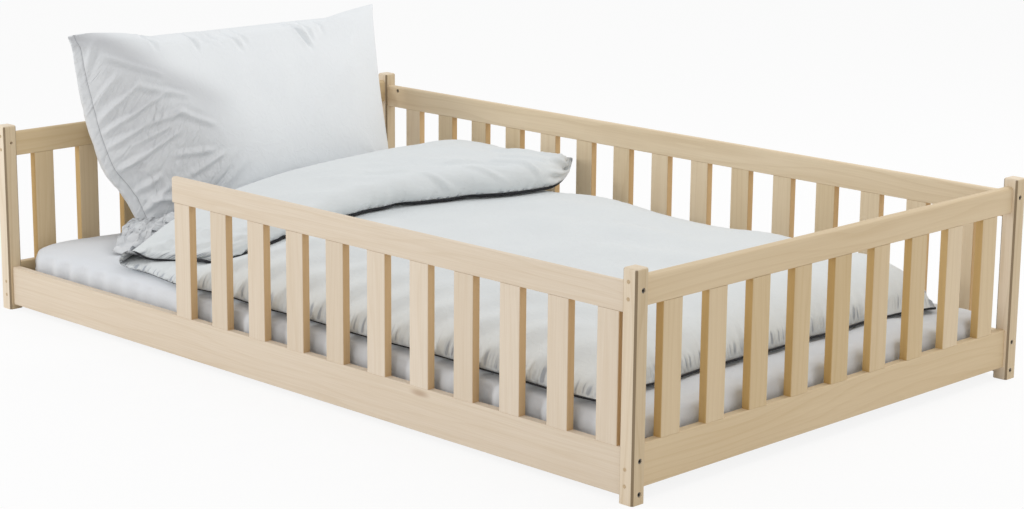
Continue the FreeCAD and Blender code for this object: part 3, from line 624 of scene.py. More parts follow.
quilt = {
    "columns": 300, "rows": 150,
    "length": 2.1, "width": 1.15, "lieWidth": 1.13,    # the cloth's own, and its width as it lies
    # where along the cloth the fold begins and ends, and the free edge's bulge begins
    "toCrease": 0.70, "toFlap": 0.80, "toBulge": 0.94,
    "foot": 0.890, "front": -0.590, "back": 0.536,
    "flapFront": -0.578, "flapIn": (0.082, -0.1, 0.75), "flapBack": 0.590,
    "bow": 0.004, "footBow": 0.003, "bowLengths": (0.2, 0.6), "footBowLengths": (0.15, 0.5),
    "backCorner": 0.050, "footCorner": 0.034, "footFrontShare": 0.4, "cornerReach": 0.05,
    "lie": 0.1590, "seam": 0.1665, "crown": 0.260, "backHigher": (0.008, -0.1, 0.3),
    "waves": ((0.005, 1.0, 1.0, 0.35, 0.8, 21), (0.0034, 0.6, 1.3, 0.11, 0.26, 22)),
    "frontRise": 0.28, "backRise": 0.12, "footRise": 0.18, "footUnder": 0.05,
    "pressedRise": 0.14, "flapFrontRise": 0.07, "lowerCurve": 1.2,
    "pointRise": 0.17, "pointAlong": (0.2, 0.7), "pointRound": (0.1, 0.8),      # the flap's far corner
    "foldDepthShare": 0.48, "innerFold": 0.03, "backLoop": 0.05, "frontLoop": 0.034,
    "loopCurve": 0.75,
    "underFlap": 0.003,                  # between the flap and the layer that it presses
    "bulgeOut": 0.010, "bulgeTurn": math.radians(142),
    "pressedReach": (0.15, (0.09, 0.22, 0.40)), "pressedIn": 0.03,
    # height of the side seams beyond the fold, and its steps from there to the free edge
    "backSeam": (0.286, (0.034, 0.4, 1.0)), "frontSeam": (0.206, (-0.019, 0.0, 0.36), (0.012, 0.5, 1.0)),
    # places measured across the bed: (y, value)
    "foldLine": ((-0.60, -0.600), (-0.53, -0.642), (-0.45, -0.668), (-0.20, -0.690), (0.035, -0.700),
                 (0.34, -0.694), (0.54, -0.667), (0.60, -0.625)),
    "freeEdge": ((-0.60, -0.470), (-0.53, -0.445), (-0.437, -0.385), (-0.295, -0.360), (0.033, -0.352),
                 (0.20, -0.300), (0.337, -0.238), (0.45, -0.222), (0.53, -0.236), (0.60, -0.285)),
    "flapTop": ((-0.60, 0.194), (-0.55, 0.201), (-0.50, 0.214), (-0.45, 0.235), (-0.352, 0.270),
                (-0.22, 0.302), (-0.093, 0.320), (0.142, 0.335), (0.354, 0.341), (0.484, 0.340),
                (0.60, 0.328)),
    "flapUnder": ((-0.60, 0.184), (-0.55, 0.187), (-0.50, 0.191), (-0.45, 0.203), (-0.352, 0.224),
                  (-0.22, 0.245), (-0.093, 0.254), (0.142, 0.262), (0.354, 0.265), (0.60, 0.266)),
    # gathers: how far they reach from their seam, where they start, their strength
    "pucker": 0.0040, "sideGathers": (0.030, 0.004),
    "sideGatherWidths": (0.018, 0.045), "endGatherWidths": (0.016, 0.040),
    "footGathers": (0.014, 0.002, 1.8), "freeGathers": (0.026, 0.004, 0.7),
    "gathersPastFold": (0.03, 0.09),     # along u from the fold's middle
    "flapWave": 0.0022, "flapWaves": (0.05, 0.16), "flapWaveStart": (0.78, 0.84), "calmSide": 0.05,
    # the fold's open end at the front, which lies in shadow: from and to, along and across
    "insideAlong": ((0.70, 0.73), (0.87, 0.82)), "insideAcross": ((0.001, 0.008), (0.16, 0.08)),
    # creases on the flap near its two corners, each from and to (along, across) in the cloth, and its
    # height in mm
    "creaseWidth": 0.0095, "creaseFromSide": 0.02, "creaseFromEdge": 0.03,
    "creases": ((2.070, 1.125, 1.990, 1.040, 9), (2.060, 1.135, 1.930, 1.075, 9),
                (2.040, 1.140, 1.890, 1.110, 7.5), (2.080, 1.105, 2.045, 1.010, 9),
                (2.085, 1.085, 2.075, 0.985, 7.5), (1.970, 1.000, 1.900, 0.960, 6),
                (2.020, 0.940, 1.930, 0.900, 6), (1.960, 0.880, 1.900, 0.800, 6),
                (2.030, 0.830, 1.980, 0.790, 4.5), (1.900, 1.060, 1.840, 1.010, 6),
                (2.050, 0.700, 1.990, 0.670, 4.5), (1.930, 0.640, 1.880, 0.590, 4.5),
                (1.750, 0.030, 1.820, 0.065, 7.5), (1.800, 0.055, 1.880, 0.035, 7.5),
                (1.900, 0.040, 1.980, 0.090, 7.5), (1.720, 0.085, 1.800, 0.120, 6),
                (1.940, 0.130, 2.010, 0.160, 6), (1.840, 0.110, 1.910, 0.090, 6)),
}


def duvetPlaces(q, u, v):
    # u runs from the foot edge to the fold and back to the free edge, v from the front to the back
    m = {"onLower": partOf(u, 0, q["toCrease"]),                 # foot to crease
         "roundFold": partOf(u, q["toCrease"], q["toFlap"]),
         "onFlap": partOf(u, q["toFlap"], 1),                    # crease to the free edge
         "level": partOf(u, q["toFlap"], q["toBulge"]),          # crease to its bulge
         "roundEdge": partOf(u, q["toBulge"], 1)}                # round the bulge to the seam
    m["lower"] = u <= q["toCrease"]
    m["folding"] = (u > q["toCrease"]) & (u <= q["toFlap"])
    m["bulging"] = u > q["toBulge"]
    m["turned"] = smooth(m["roundFold"], 0, 1)
    m["back"] = v > 0.5
    bowFront, bowBack = (q["bow"] * ripples(u * q["length"], *q["bowLengths"], seed) for seed in (8, 9))
    corner = q["backCorner"] * np.exp(-u * q["length"] / q["cornerReach"])
    front = between(q["front"], q["flapFront"], m["turned"]) + bowFront
    front = stepped(m["onFlap"], front, q["flapIn"])
    back = between(q["back"], q["flapBack"], m["turned"]) + bowBack - corner
    m["y"] = y = between(front, back, v)
    m["top"], m["under"] = alongLine(q["flapTop"], y), alongLine(q["flapUnder"], y)
    m["depth"] = q["foldDepthShare"] * (m["top"] - q["lie"])
    m["crease"] = alongLine(q["foldLine"], y) + m["depth"]
    ear = np.abs(2 * v - 1) ** 9
    m["foot"] = (q["foot"] + q["footCorner"] * ear * np.where(m["back"], 1, q["footFrontShare"])
                 + q["footBow"] * ripples(y, *q["footBowLengths"], 3))
    m["x"] = between(m["foot"], m["crease"], m["onLower"])
    m["free"] = alongLine(q["freeEdge"], y)
    # the flap presses the lower layer
    reach = stepped(-y, *q["pressedReach"])
    m["pressed"] = smooth(m["x"], m["free"] + reach, m["free"] - q["pressedIn"])
    m["radius"] = (m["top"] - m["under"]) / 2
    m["bulge"] = m["free"] + q["bulgeOut"] - m["radius"]
    return m


def duvetCrown(q, m):
    # height of the lower layer's upper skin
    crown = stepped(m["y"], q["crown"], q["backHigher"])
    for height, alongScale, acrossScale, shortest, longest, seed in q["waves"]:
        crown = crown + height * waviness(m["x"] * alongScale, m["y"] * acrossScale, shortest, longest, seed)
    crown = between(q["seam"], crown, domed(m["foot"] - m["x"], q["footRise"]))
    return between(crown, m["under"] - q["underFlap"], m["pressed"])


def outerSkin(q, m):
    # it lies on the mattress and comes round on top of the flap
    top, under, radius, b = m["top"], m["under"], m["radius"], m["roundFold"]
    turn = m["roundEdge"] * q["bulgeTurn"]
    parts = [m["lower"], m["folding"], m["bulging"]]
    x = np.select(parts, [m["x"], m["crease"] - m["depth"] * np.sin(b * math.pi),
                          m["bulge"] + radius * np.sin(turn)],
                  between(m["crease"], m["bulge"], m["level"]))
    z = np.select(parts, [np.full_like(b, q["lie"]),
                          (top + q["lie"]) / 2 - (top - q["lie"]) / 2 * np.cos(b * math.pi),
                          under + radius + radius * np.cos(turn)], top)
    atFoot = between(q["seam"], z, domed(m["foot"] - m["x"], q["footUnder"]))
    return x, np.where(m["lower"], atFoot, z)


def innerSkin(q, m):
    under, radius, crown = m["under"], m["radius"], duvetCrown(q, m)
    lastX = m["bulge"] + radius * math.sin(q["bulgeTurn"])
    lastZ = under + radius * (1 + math.cos(q["bulgeTurn"]))
    backX = between(m["crease"], lastX, m["onFlap"])
    x = np.select([m["lower"], m["folding"]],
                  [m["x"], m["crease"] - q["innerFold"] * np.sin(m["roundFold"] * math.pi)], backX)
    z = np.select([m["lower"], m["folding"]], [crown, between(crown, under, m["roundFold"])],
                  between(under, lastZ, smooth(m["roundEdge"], 0.3, 1)))
    return x, z, backX


def sideSeam(q, m, backX):
    # the seam along the two sides, which both skins meet
    loop = np.where(m["back"], q["backLoop"], q["frontLoop"])
    x = np.select([m["lower"], m["folding"]],
                  [m["x"], m["crease"] - loop * np.sin(m["roundFold"] ** q["loopCurve"] * math.pi)], backX)
    up = np.where(m["back"], stepped(m["onFlap"], *q["backSeam"]), stepped(m["onFlap"], *q["frontSeam"]))
    z = np.select([m["lower"], m["folding"]],
                  [np.full_like(up, q["seam"]), between(q["seam"], up, m["turned"])], up)
    return x, z


def duvetPoints(q, u, v, side):
    m = duvetPlaces(q, u, v)
    outer = side > 0
    xOuter, zOuter = outerSkin(q, m)
    xInner, zInner, backX = innerSkin(q, m)
    xSeam, zSeam = sideSeam(q, m, backX)
    # how far each skin has risen from the seam
    fromFront, fromBack = v * q["lieWidth"], (1 - v) * q["lieWidth"]
    frontRise = between(q["frontRise"], q["pressedRise"], m["pressed"])
    frontRise = between(frontRise, q["flapFrontRise"], m["turned"])
    pointed = np.sin(np.clip(fromBack / q["pointRise"], 0, 1) * math.pi / 2)
    toPoint = smooth(m["onFlap"], *q["pointAlong"]) * np.where(outer, smooth(m["roundEdge"], *q["pointRound"]), 1)
    atBack = between(domed(fromBack, q["backRise"]), pointed, toPoint)
    rise = domed(fromFront, frontRise) ** np.where(m["turned"] > 0.5, 1.0, q["lowerCurve"]) * atBack
    x = between(xSeam, np.where(outer, xOuter, xInner), rise)
    z = between(zSeam, np.where(outer, zOuter, zInner), rise)
    return np.stack([x, m["y"], z], 1), np.minimum(fromFront, fromBack), m["foot"] - m["x"]


def foldMiddle(q):
    return (q["toCrease"] + q["toFlap"]) / 2


def gathered(distance, reach, start):
    # nothing on the seam, most close to it, then fading
    return np.exp(-distance / reach) * (1 - np.exp(-distance / start))


def duvetGathers(q, u, v, side, fromSide, fromFoot):
    # how far gathers at the seams and soft waves on the flap move each point along its normal
    along, across = u * q["length"], v * q["width"]
    atFoot = u < 0.5
    fromEnd = np.where(atFoot, fromFoot, (1 - u) * q["length"])
    reach, start, strength = (np.where(atFoot, *both) for both in zip(q["footGathers"], q["freeGathers"]))
    endPucker = gathered(fromEnd, reach, start) * strength * ripples(across, *q["endGatherWidths"], 32)
    sidePucker = gathered(fromSide, *q["sideGathers"]) * ripples(along, *q["sideGatherWidths"], 31)
    sidePucker *= smooth(np.abs(u - foldMiddle(q)), *q["gathersPastFold"])
    wave = q["flapWave"] * smooth(u, *q["flapWaveStart"]) * smooth(fromSide, 0, q["calmSide"])
    wave = wave * waviness(along, across, *q["flapWaves"], 41)
    onMattress = (u < q["toCrease"]) & (side > 0)
    return np.where(onMattress, 0.0, q["pucker"] * (sidePucker + endPucker) + wave)


pipingAndShadow = {
    "radius": 0.0024,
    "least": 0.04,                         # share of it that shows where the seam swallows it
    "inFold": (0.08, 0.05),                # it is hidden this near to the fold's middle, along u
    "onFlap": 0.72,
    "frontSwallowed": (0.4, (0.4, 0.5, 0.66)), "frontStart": (0.0, 0.25),
    "farCorner": (0.86, 0.93),
    "fullEdge": (1.0, (0.4, 0.93, 0.99)),
    "inset": 0.004,
}


def pipingAndShadowRim(q, p, u, v, side, points):
    # the seam's line, all the way round, and how thick the dark piping, which also stands for painted shadow
    # under the seam, shows there
    shown = 1 - smooth(np.abs(u - foldMiddle(q)), *p["inFold"])
    swallowed = stepped(u, *p["frontSwallowed"]) * smooth(u, *p["frontStart"])
    shown *= 1 - swallowed * (u < p["onFlap"]) * (v < 0.5)
    shown *= 1 - (u > p["onFlap"]) * smooth(v, *p["farCorner"])
    shown = np.clip(shown, p["least"], 1) * stepped(u, *p["fullEdge"])
    uIn, vIn = (np.clip(place, p["inset"], 1 - p["inset"]) for place in (u, v))
    within = sum(duvetPoints(q, uIn, vIn, np.full_like(u, way))[0] for way in (1, -1)) / 2
    outward = points - within
    outward /= np.maximum(np.linalg.norm(outward, axis=1), 1e-6)[:, None]
    rim, thickness = [], []
    for onEdge, order in ((u < 1e-6, v), (v > 1 - 1e-6, u), (u > 1 - 1e-6, -v), (v < 1e-6, -u)):
        chosen = np.flatnonzero((side > 0) & onEdge)
        chosen = chosen[np.argsort(order[chosen])][:-1]
        rim.extend(points[chosen] + outward[chosen] * (shown[chosen] * p["radius"])[:, None])
        thickness.extend(shown[chosen])
    return rim, thickness


def pipingAndShadowAlong(name, line, thickness, radius, material):
    # a thin near-black cord round a closed line of points, thinner where the seam swallows it: dark piping that
    # also stands for the painted shadow line under the cover's edge
    curve = bpy.data.curves.new(name, "CURVE")
    curve.dimensions = "3D"
    spline = curve.splines.new("POLY")
    spline.points.add(len(line) - 1)
    for point, place, share in zip(spline.points, line, thickness):
        point.co = (*place, 1)
        point.radius = share
    spline.use_cyclic_u = True
    curve.bevel_depth = radius
    curve.bevel_resolution = 2
    piece = bpy.data.objects.new(name, curve)
    bpy.context.collection.objects.link(piece)
    select(piece)
    bpy.ops.object.convert(target="MESH")
    piece = bpy.context.object
    bpy.ops.object.shade_smooth()
    dress(piece, material)
    return piece


seamGathers = {
    "perMetre": (80.0, 70.0),         # on the foot and free edges, and on the two sides
    "reach": (0.015, 0.030),
    "seam": 0.003, "rise": 0.004, "slant": 9.0,
    "height": 0.014, "shadow": 0.8, "shadowFrom": 0.10,
    "insideShadow": 0.95,
}


def seamPuckers(w, where, g):
    # short gathers that stand square to the four edges of the duvet's cover
    parts = w.split(where)
    total = 0.0
    for across, along, size, perMetre, reach in zip(
            "XY", "YX", (quilt["length"], quilt["width"]), g["perMetre"], g["reach"]):
        edge = w.maths("MINIMUM", parts[across], w.minus(size, parts[across]))
        near = w.times(w.ramp(edge, g["seam"], reach, 1.0, 0.0), w.ramp(edge, 0.0, g["rise"]))
        spot = w.add("ShaderNodeCombineXYZ", {0: w.times(parts[along], perMetre),
                                              1: w.times(edge, g["slant"])}).outputs[0]
        total = w.plus(w.times(w.minus(w.noise(spot, Detail=1.5), 0.5), near), total)
    return total


def duvetMaterial(g):
    material, w, surface, where, weave = startCloth(
        "duvetCotton", rgb(224, 228, 229), rgb(204, 209, 213), 0.45)
    folds = seamPuckers(w, where, g)
    # little light reaches into the gathers, and less into the fold's open end
    deep = w.times(w.ramp(w.times(folds, -1.0), 0.0, g["shadowFrom"]), g["shadow"])
    colour = w.mixColour(deep, weave["Color"], rgb(158, 164, 174))
    inside = w.times(w.attribute("insideFold"), g["insideShadow"])
    colour = w.mixColour(inside, colour, rgb(66, 68, 74))
    finishCloth(w, surface, weave, colour, w.bump(folds, 1.0, g["height"]))
    return material


def pipingAndShadowMaterial():
    material, w, surface = startMaterial("charcoalPiping")
    twist = w.noise(w.place("Object"), 700.0, Detail=2.0)
    # near black: dark piping, made darker still as painted shadow under the cover's edge
    w.set(surface, {"Base Color": w.mixColour(twist, rgb(16, 16, 20), rgb(38, 39, 46)),
                    "Roughness": 0.8, "Normal": w.bump(twist, 0.4, 0.0005)})
    return material


def makeDuvet(q):
    piece, u, v, side = pairedGrid("foldedDuvet", q["columns"], q["rows"])
    points, fromSide, fromFoot = duvetPoints(q, u, v, side)
    writePoints(piece, points)
    n = readNormals(piece)
    points = points + n * duvetGathers(q, u, v, side, fromSide, fromFoot)[:, None]
    strength = smooth(fromSide, 0, q["creaseFromSide"]) * (side > 0)
    strength *= smooth((1 - u) * q["length"], 0, q["creaseFromEdge"])
    points = addCreases(points, n, u * q["length"], v * q["width"], q["creases"], strength,
                        q["creaseWidth"])
    writePoints(piece, points)
    scaleUv(piece, q["length"], q["width"])
    inside = np.where(side < 0, 1.0, 0.0)
    for place, steps in ((u, q["insideAlong"]), (v, q["insideAcross"])):
        for low, high in steps:
            inside *= smooth(place, low, high)
    writeMark(piece, "insideFold", inside)
    rim, thickness = pipingAndShadowRim(q, pipingAndShadow, u, v, side, points)
    closeSeam(piece)
    dress(piece, duvetMaterial(seamGathers))
    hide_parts("duvet")
    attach(piece, "duvet")
    darkLine = pipingAndShadowAlong("duvetPiping", rim, thickness, pipingAndShadow["radius"], pipingAndShadowMaterial())
    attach(darkLine, "duvet")
    print("duvet:", len(piece.data.vertices), "points, piping of", len(rim))


makeDuvet(quilt)

bigPillow = {
    "columns": 148, "rows": 84,
    # outline seen from the bed: (z, y)
    "left": ((0.160, -0.345), (0.212, -0.364), (0.265, -0.390), (0.320, -0.424), (0.400, -0.446),
             (0.496, -0.458), (0.655, -0.462)),
    "right": ((0.160, 0.480), (0.268, 0.491), (0.318, 0.493), (0.430, 0.500), (0.553, 0.520),
              (0.655, 0.540)),
    "ridge": ((0.160, -0.09), (0.234, -0.10), (0.285, -0.112), (0.347, -0.13), (0.412, -0.165),
              (0.462, -0.22), (0.525, -0.30), (0.577, -0.385), (0.640, -0.455)),
    # thickness up the pillow: (share of its height, share of its thickness)
    "plump": ((0.0, 0.58), (0.1, 0.80), (0.3, 1.0), (0.55, 0.96), (0.78, 0.66), (0.93, 0.27), (1.0, 0.0)),
    "foot": 0.164, "top": 0.660, "topDip": -0.007,
    "footX": -0.850, "topX": -0.986,
    "thick": 0.080, "width": 0.95, "height": 0.5,
    "sideRise": 0.34, "endRise": 0.045, "looseFall": 0.85, "looseShare": 0.9,
    "frames": 20, "cap": 0.030,
    "cloth": {"quality": 6, "mass": 0.2, "tension_stiffness": 25, "compression_stiffness": 25,
              "shear_stiffness": 4, "bending_stiffness": 0.3, "use_pressure": True,
              "uniform_pressure_force": 2.5, "shrink_max": -0.01, "shrink_min": -0.07},
    "looseSide": (-0.30, -0.05),     # spare cloth up to the first y, taut from the second
    "calmHem": 0.25, "calmReach": (-0.01, 0.07),
    "headboard": -1.0090, "rest": 0.1600,       # it reaches neither past the one nor below the other
    "hem": 0.019, "creaseWidth": 0.0075, "creaseFromHem": (0.012, 0.045),
    "slackPastRidge": (-0.05, 0.10), "hemSlack": (-0.25, 0.09, 0.02), "frontOnly": (-0.2, 0.6),
    # a band of painted shade where the case falls away from its filling, as (z, y), and how dark the painted
    # shade is there
    "dusk": ((0.16, -0.06), (0.30, -0.08), (0.35, -0.12), (0.40, -0.15), (0.47, -0.18), (0.51, -0.24),
             (0.55, -0.31), (0.59, -0.35), (0.64, -0.43), (0.66, -0.45)),
    "ridgeShadeDepth": ((0.16, 0.0), (0.30, 0.10), (0.35, 0.22), (0.40, 0.28), (0.47, 0.50), (0.55, 0.66),
                  (0.59, 0.74), (0.64, 0.88), (0.66, 0.90)),
    "ridgeShadeWidth": 0.075,
    # creases in the loose third and at the top, each from and to (y, z) on the pillow's middle, and
    # its height in mm
    "creases": ((-0.452, 0.467, -0.390, 0.528, 8), (-0.435, 0.443, -0.341, 0.508, 10),
                (-0.420, 0.419, -0.282, 0.482, 10), (-0.442, 0.373, -0.347, 0.413, 8),
                (-0.358, 0.384, -0.282, 0.406, 6), (-0.392, 0.332, -0.265, 0.390, 10),
                (-0.313, 0.424, -0.242, 0.437, 6), (-0.387, 0.577, -0.281, 0.535, 5),
                (-0.313, 0.503, -0.229, 0.478, 6), (-0.371, 0.269, -0.325, 0.294, 8),
                (-0.348, 0.224, -0.305, 0.265, 10), (-0.253, 0.343, -0.184, 0.340, 5),
                (-0.221, 0.298, -0.160, 0.322, 6), (-0.233, 0.435, -0.176, 0.408, 5),
                (-0.455, 0.540, -0.425, 0.600, 8), (-0.330, 0.250, -0.200, 0.235, 8),
                (-0.254, 0.650, -0.250, 0.612, -5), (-0.132, 0.645, -0.128, 0.602, -6),
                (-0.053, 0.645, -0.045, 0.612, -4), (-0.007, 0.640, 0.004, 0.590, -5),
                (0.026, 0.645, 0.030, 0.605, -4), (0.205, 0.640, 0.226, 0.575, -10),
                (0.252, 0.645, 0.247, 0.590, -5), (0.304, 0.645, 0.296, 0.610, -4)),
}


def pillowPoints(q, u, v, side):
    z = between(q["foot"], q["top"], v)
    left, right = alongLine(q["left"], z), alongLine(q["right"], z)
    y = between(left, right, u)
    ear = np.abs(2 * u - 1) ** 4
    z = z - q["topDip"] * (1 - ear) * v**3
    x = q["footX"] + (q["topX"] - q["footX"]) * (z - q["foot"]) / (q["top"] - q["foot"])
    full = q["thick"] * (alongLine(q["plump"], v) * domed(v * q["height"], q["endRise"]))
    half = full * domed(np.minimum(u, 1 - u) * q["width"], q["sideRise"])
    # in front, the loose third falls back from its ridge to the hem
    ridge = alongLine(q["ridge"], z)
    atRidge = full * domed((ridge - left) * q["width"], q["sideRise"])
    loose = np.clip((y - left) / np.maximum(ridge - left, 0.01), 0, 1)
    fallen = between(half, np.minimum(half, atRidge * loose ** q["looseFall"]), q["looseShare"])
    half = np.where(side > 0, fallen, half)
    tilt = math.atan2(q["footX"] - q["topX"], q["top"] - q["foot"])
    return np.stack([x + side * half * math.cos(tilt), y, z + side * half * math.sin(tilt)], 1), y, z


def puffUp(piece, q):
    # cloth filled from inside, with no weight, held at its corners and near its first shape
    before = readPoints(piece)
    held = piece.vertex_groups.new(name="corners")
    for toY in (-1, 1):
        for toZ in (-1, 1):
            held.add([int(np.argmax(before[:, 1] * toY + before[:, 2] * toZ * 2))], 1.0, "REPLACE")
    taut = piece.vertex_groups.new(name="taut")
    share = smooth(before[:, 1], *q["looseSide"])
    steps = 10
    for level in range(steps + 1):
        taut.add(np.flatnonzero(np.round(share * steps) == level).tolist(), level / steps, "REPLACE")
    cloth = piece.modifiers.new("fill", "CLOTH")
    for label, value in q["cloth"].items():
        setattr(cloth.settings, label, value)
    cloth.settings.effector_weights.gravity = 0
    cloth.settings.vertex_group_mass = held.name
    cloth.settings.vertex_group_shrink = taut.name
    cloth.collision_settings.use_collision = False
    for step in range(1, q["frames"] + 1):
        bpy.context.scene.frame_set(step)
    select(piece)
    bpy.ops.object.modifier_apply(modifier=cloth.name)
    bpy.context.scene.frame_set(1)
    moved = readPoints(piece) - before
    far = np.linalg.norm(moved, axis=1, keepdims=True)
    # the doubled hem is stiffer
    calm = smooth(before[:, 1] - alongLine(q["left"], before[:, 2]), *q["calmReach"])[:, None]
    capped = moved * np.minimum(1, q["cap"] / np.maximum(far, 1e-9))
    writePoints(piece, before + capped * between(q["calmHem"], 1, calm))
    print(piece.name, "filled, moved by up to", round(float(far.max()) * 1000), "mm, on average",
          round(float(far.mean()) * 1000))


pillowcase = {
    "slackShadeShare": 0.75,
    "stitch": (0.0004, 0.0014), "stitchShare": 0.5, "grooveWidth": 0.004,
    "slant": -0.75, "stretch": (7.0, 26.0, 1.0),        # of the fine creases in the slack third
}


def pillowcaseMaterial(p):
    # painted shade, greyer, where the case hangs slack and in a band where it falls away from its filling, with
    # creases where it hangs slack and a stitched hem beside its open end
    material, w, surface, where, weave = startCloth(
        "pillowcaseCotton", rgb(240, 243, 245), rgb(222, 226, 230), 0.4)
    slack = w.attribute("slack")
    hem = w.maths("ABSOLUTE", w.attribute("fromHem"))
    stitch = w.times(w.ramp(hem, *p["stitch"], 1.0, 0.0), p["stitchShare"])
    # painted shade where the case hangs slack
    colour = w.mixColour(w.times(slack, p["slackShadeShare"]), weave["Color"], rgb(208, 209, 211))
    # a band of painted shade where the case falls away from its filling
    colour = w.mixColour(w.attribute("dusk"), colour, rgb(186, 187, 190))
    colour = w.mixColour(stitch, colour, rgb(128, 130, 136))
    stretched = w.mapped(w.mapped(where, Rotation=(0, 0, p["slant"])), Scale=p["stretch"])
    crumple = w.noise(stretched, Detail=3.0, Distortion=0.4)
    sharp = w.maths("ABSOLUTE", w.minus(crumple, 0.5))
    creased = w.bump(w.times(sharp, slack), 0.8, 0.03)
    groove = w.bump(w.ramp(hem, 0.0, p["grooveWidth"]), 0.5, 0.003, creased)
    finishCloth(w, surface, weave, colour, groove)
    return material


def makePillow(q):
    piece, u, v, side = pairedGrid("sleepingPillow", q["columns"], q["rows"])
    points, flatY, flatZ = pillowPoints(q, u, v, side)
    writePoints(piece, points)
    scaleUv(piece, 1.0, q["height"])
    mark = piece.data.attributes.new("flatPlace", "FLOAT_VECTOR", "POINT")
    mark.data.foreach_set("vector", np.stack([flatY, flatZ, side], 1).ravel())
    closeSeam(piece)
    print("pillow holds", round(enclosed(piece) * 1000, 1), "litres")
    puffUp(piece, q)
    print("and then", round(enclosed(piece) * 1000, 1))
    piece.modifiers.new("finer", "SUBSURF").levels = 1
    bpy.ops.object.modifier_apply(modifier="finer")
    flatY, flatZ, side = readVectors(piece.data.attributes["flatPlace"].data, "vector").T
    piece.data.attributes.remove(piece.data.attributes["flatPlace"])
    fromLeft = flatY - alongLine(q["left"], flatZ)
    # where the case hangs slack: for its creases and for its painted shade
    slack = smooth(alongLine(q["ridge"], flatZ) - flatY, *q["slackPastRidge"])
    writeMark(piece, "slack", slack * stepped(fromLeft, 1, q["hemSlack"]))
    # a band of painted shade along the line where the case falls away from its filling, on the front only
    dusk = np.exp(-((flatY - alongLine(q["dusk"], flatZ)) / q["ridgeShadeWidth"]) ** 2)
    writeMark(piece, "dusk", dusk * alongLine(q["ridgeShadeDepth"], flatZ) * smooth(side, *q["frontOnly"]))
    writeMark(piece, "fromHem", fromLeft - q["hem"])
    strength = np.maximum(side, 0) * smooth(fromLeft, *q["creaseFromHem"])
    points = addCreases(readPoints(piece), readNormals(piece), flatY, flatZ, q["creases"], strength,
                        q["creaseWidth"])
    points[:, 0] = np.maximum(points[:, 0], q["headboard"])
    points[:, 2] = np.maximum(points[:, 2], q["rest"])
    writePoints(piece, points)
    piece.vertex_groups.clear()
    dress(piece, pillowcaseMaterial(pillowcase))
    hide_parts("pillow")
    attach(piece, "pillow")
    print("pillow:", len(piece.data.vertices), "points")


makePillow(bigPillow)

caseEnd = {
    "around": 120, "out": 44,
    "cut": (0.42, 0.17),                # its cloth round the opening and out from the seam, pulled flat
    "root": ((-0.856, -0.364, 0.212), (-0.806, -0.262, 0.205)),
    # the open end's rim, on the mattress at first and then up behind the duvet's fold
    "rim": ((-0.804, -0.425, 0.178), (-0.784, -0.470, 0.166), (-0.758, -0.486, 0.163),
            (-0.732, -0.480, 0.164), (-0.714, -0.455, 0.176), (-0.712, -0.420, 0.200),
            (-0.716, -0.375, 0.222), (-0.726, -0.325, 0.210), (-0.742, -0.280, 0.196)),
    "folds": 0.017, "foldsAtSeam": 0.25, "foldsArc": 0.62,       # the last is in half turns
    "lift": 0.020, "sag": 0.012,
    "ridges": (0.16, 0.36, 51), "ridgeLean": 0.04, "ridgeTop": 0.75, "ridgeDrop": 1.7,
    "outwardSwing": 0.8, "outwardFolds": (0.09, 0.2, 52),
    "sidewaysSwing": 0.7, "sidewaysFolds": (0.10, 0.22, 53), "sidewaysLean": 0.05,
    "facets": 0.0060, "facetsAtSeam": 0.35,
    "rest": 0.1612, "duvetSide": -0.7035,       # it goes neither below the one nor past the other
    "thick": 0.0012,
    "crumpled": (0.42, 0.15), "crumpleLengths": (0.030, 0.075),
    "dentsPerMetre": 27.0, "dent": 0.016, "wander": 0.03, "shadow": (0.45, 0.9, 0.2),
}


def caseEndMaterial(q):
    # crushed between the pillow and the duvet; its cloth is painted greyer than the pillowcase's as painted
    # shade, and darker in its dents as painted shadow
    material, w, surface, where, weave = startCloth(
        "caseEndCotton", rgb(224, 226, 228), rgb(190, 194, 199), 0.7)
    pushed = w.add("ShaderNodeTexNoise", {"Vector": where, "Scale": 30.0, "Detail": 1.0}).outputs["Color"]
    pushed = w.vectors("SCALE", {0: pushed, "Scale": q["wander"]})
    cells = w.add("ShaderNodeTexVoronoi", {"Vector": w.vectors("ADD", {0: where, 1: pushed}),
                                           "Scale": q["dentsPerMetre"]}).outputs["Distance"]
    low, high, share = q["shadow"]
    colour = w.mixColour(w.times(w.ramp(cells, low, high), share), weave["Color"], rgb(150, 154, 160))
    finishCloth(w, surface, weave, colour, w.bump(cells, 1.0, q["dent"]))
    return material


def unit(arrows):
    return arrows / np.linalg.norm(arrows, axis=1)[:, None]


def caseEndPoints(q, s, t):
    # s runs round the opening, t from the seam to the rim
    knots = np.linspace(0, 1, len(q["rim"]))
    rim = np.stack([alongLine(list(zip(knots, [p[k] for p in q["rim"]])), s) for k in range(3)], 1)
    first, last = np.array(q["root"])
    root = between(first, last, s[:, None])
    points = between(root, rim, t[:, None])
    outward = (rim - root)[:, :2]
    sideways = np.stack([-outward[:, 1], outward[:, 0]], 1)
    points[:, 2] += q["lift"] * np.sin(t * math.pi) ** 1.2 - q["sag"] * t * (1 - t)
    swing = q["folds"] * between(q["foldsAtSeam"], 1, t) * np.sin(t * math.pi * q["foldsArc"])
    ridges = np.sqrt(np.abs(ripples(s + q["ridgeLean"] * t, *q["ridges"])) + 0.01)
    points[:, 2] += swing * (q["ridgeTop"] - q["ridgeDrop"] * ridges)
    out = swing * q["outwardSwing"] * ripples(s, *q["outwardFolds"])
    aside = swing * q["sidewaysSwing"] * ripples(s - q["sidewaysLean"] * t, *q["sidewaysFolds"])
    points[:, :2] += unit(outward) * out[:, None]
    points[:, :2] += unit(sideways) * aside[:, None]
    return points


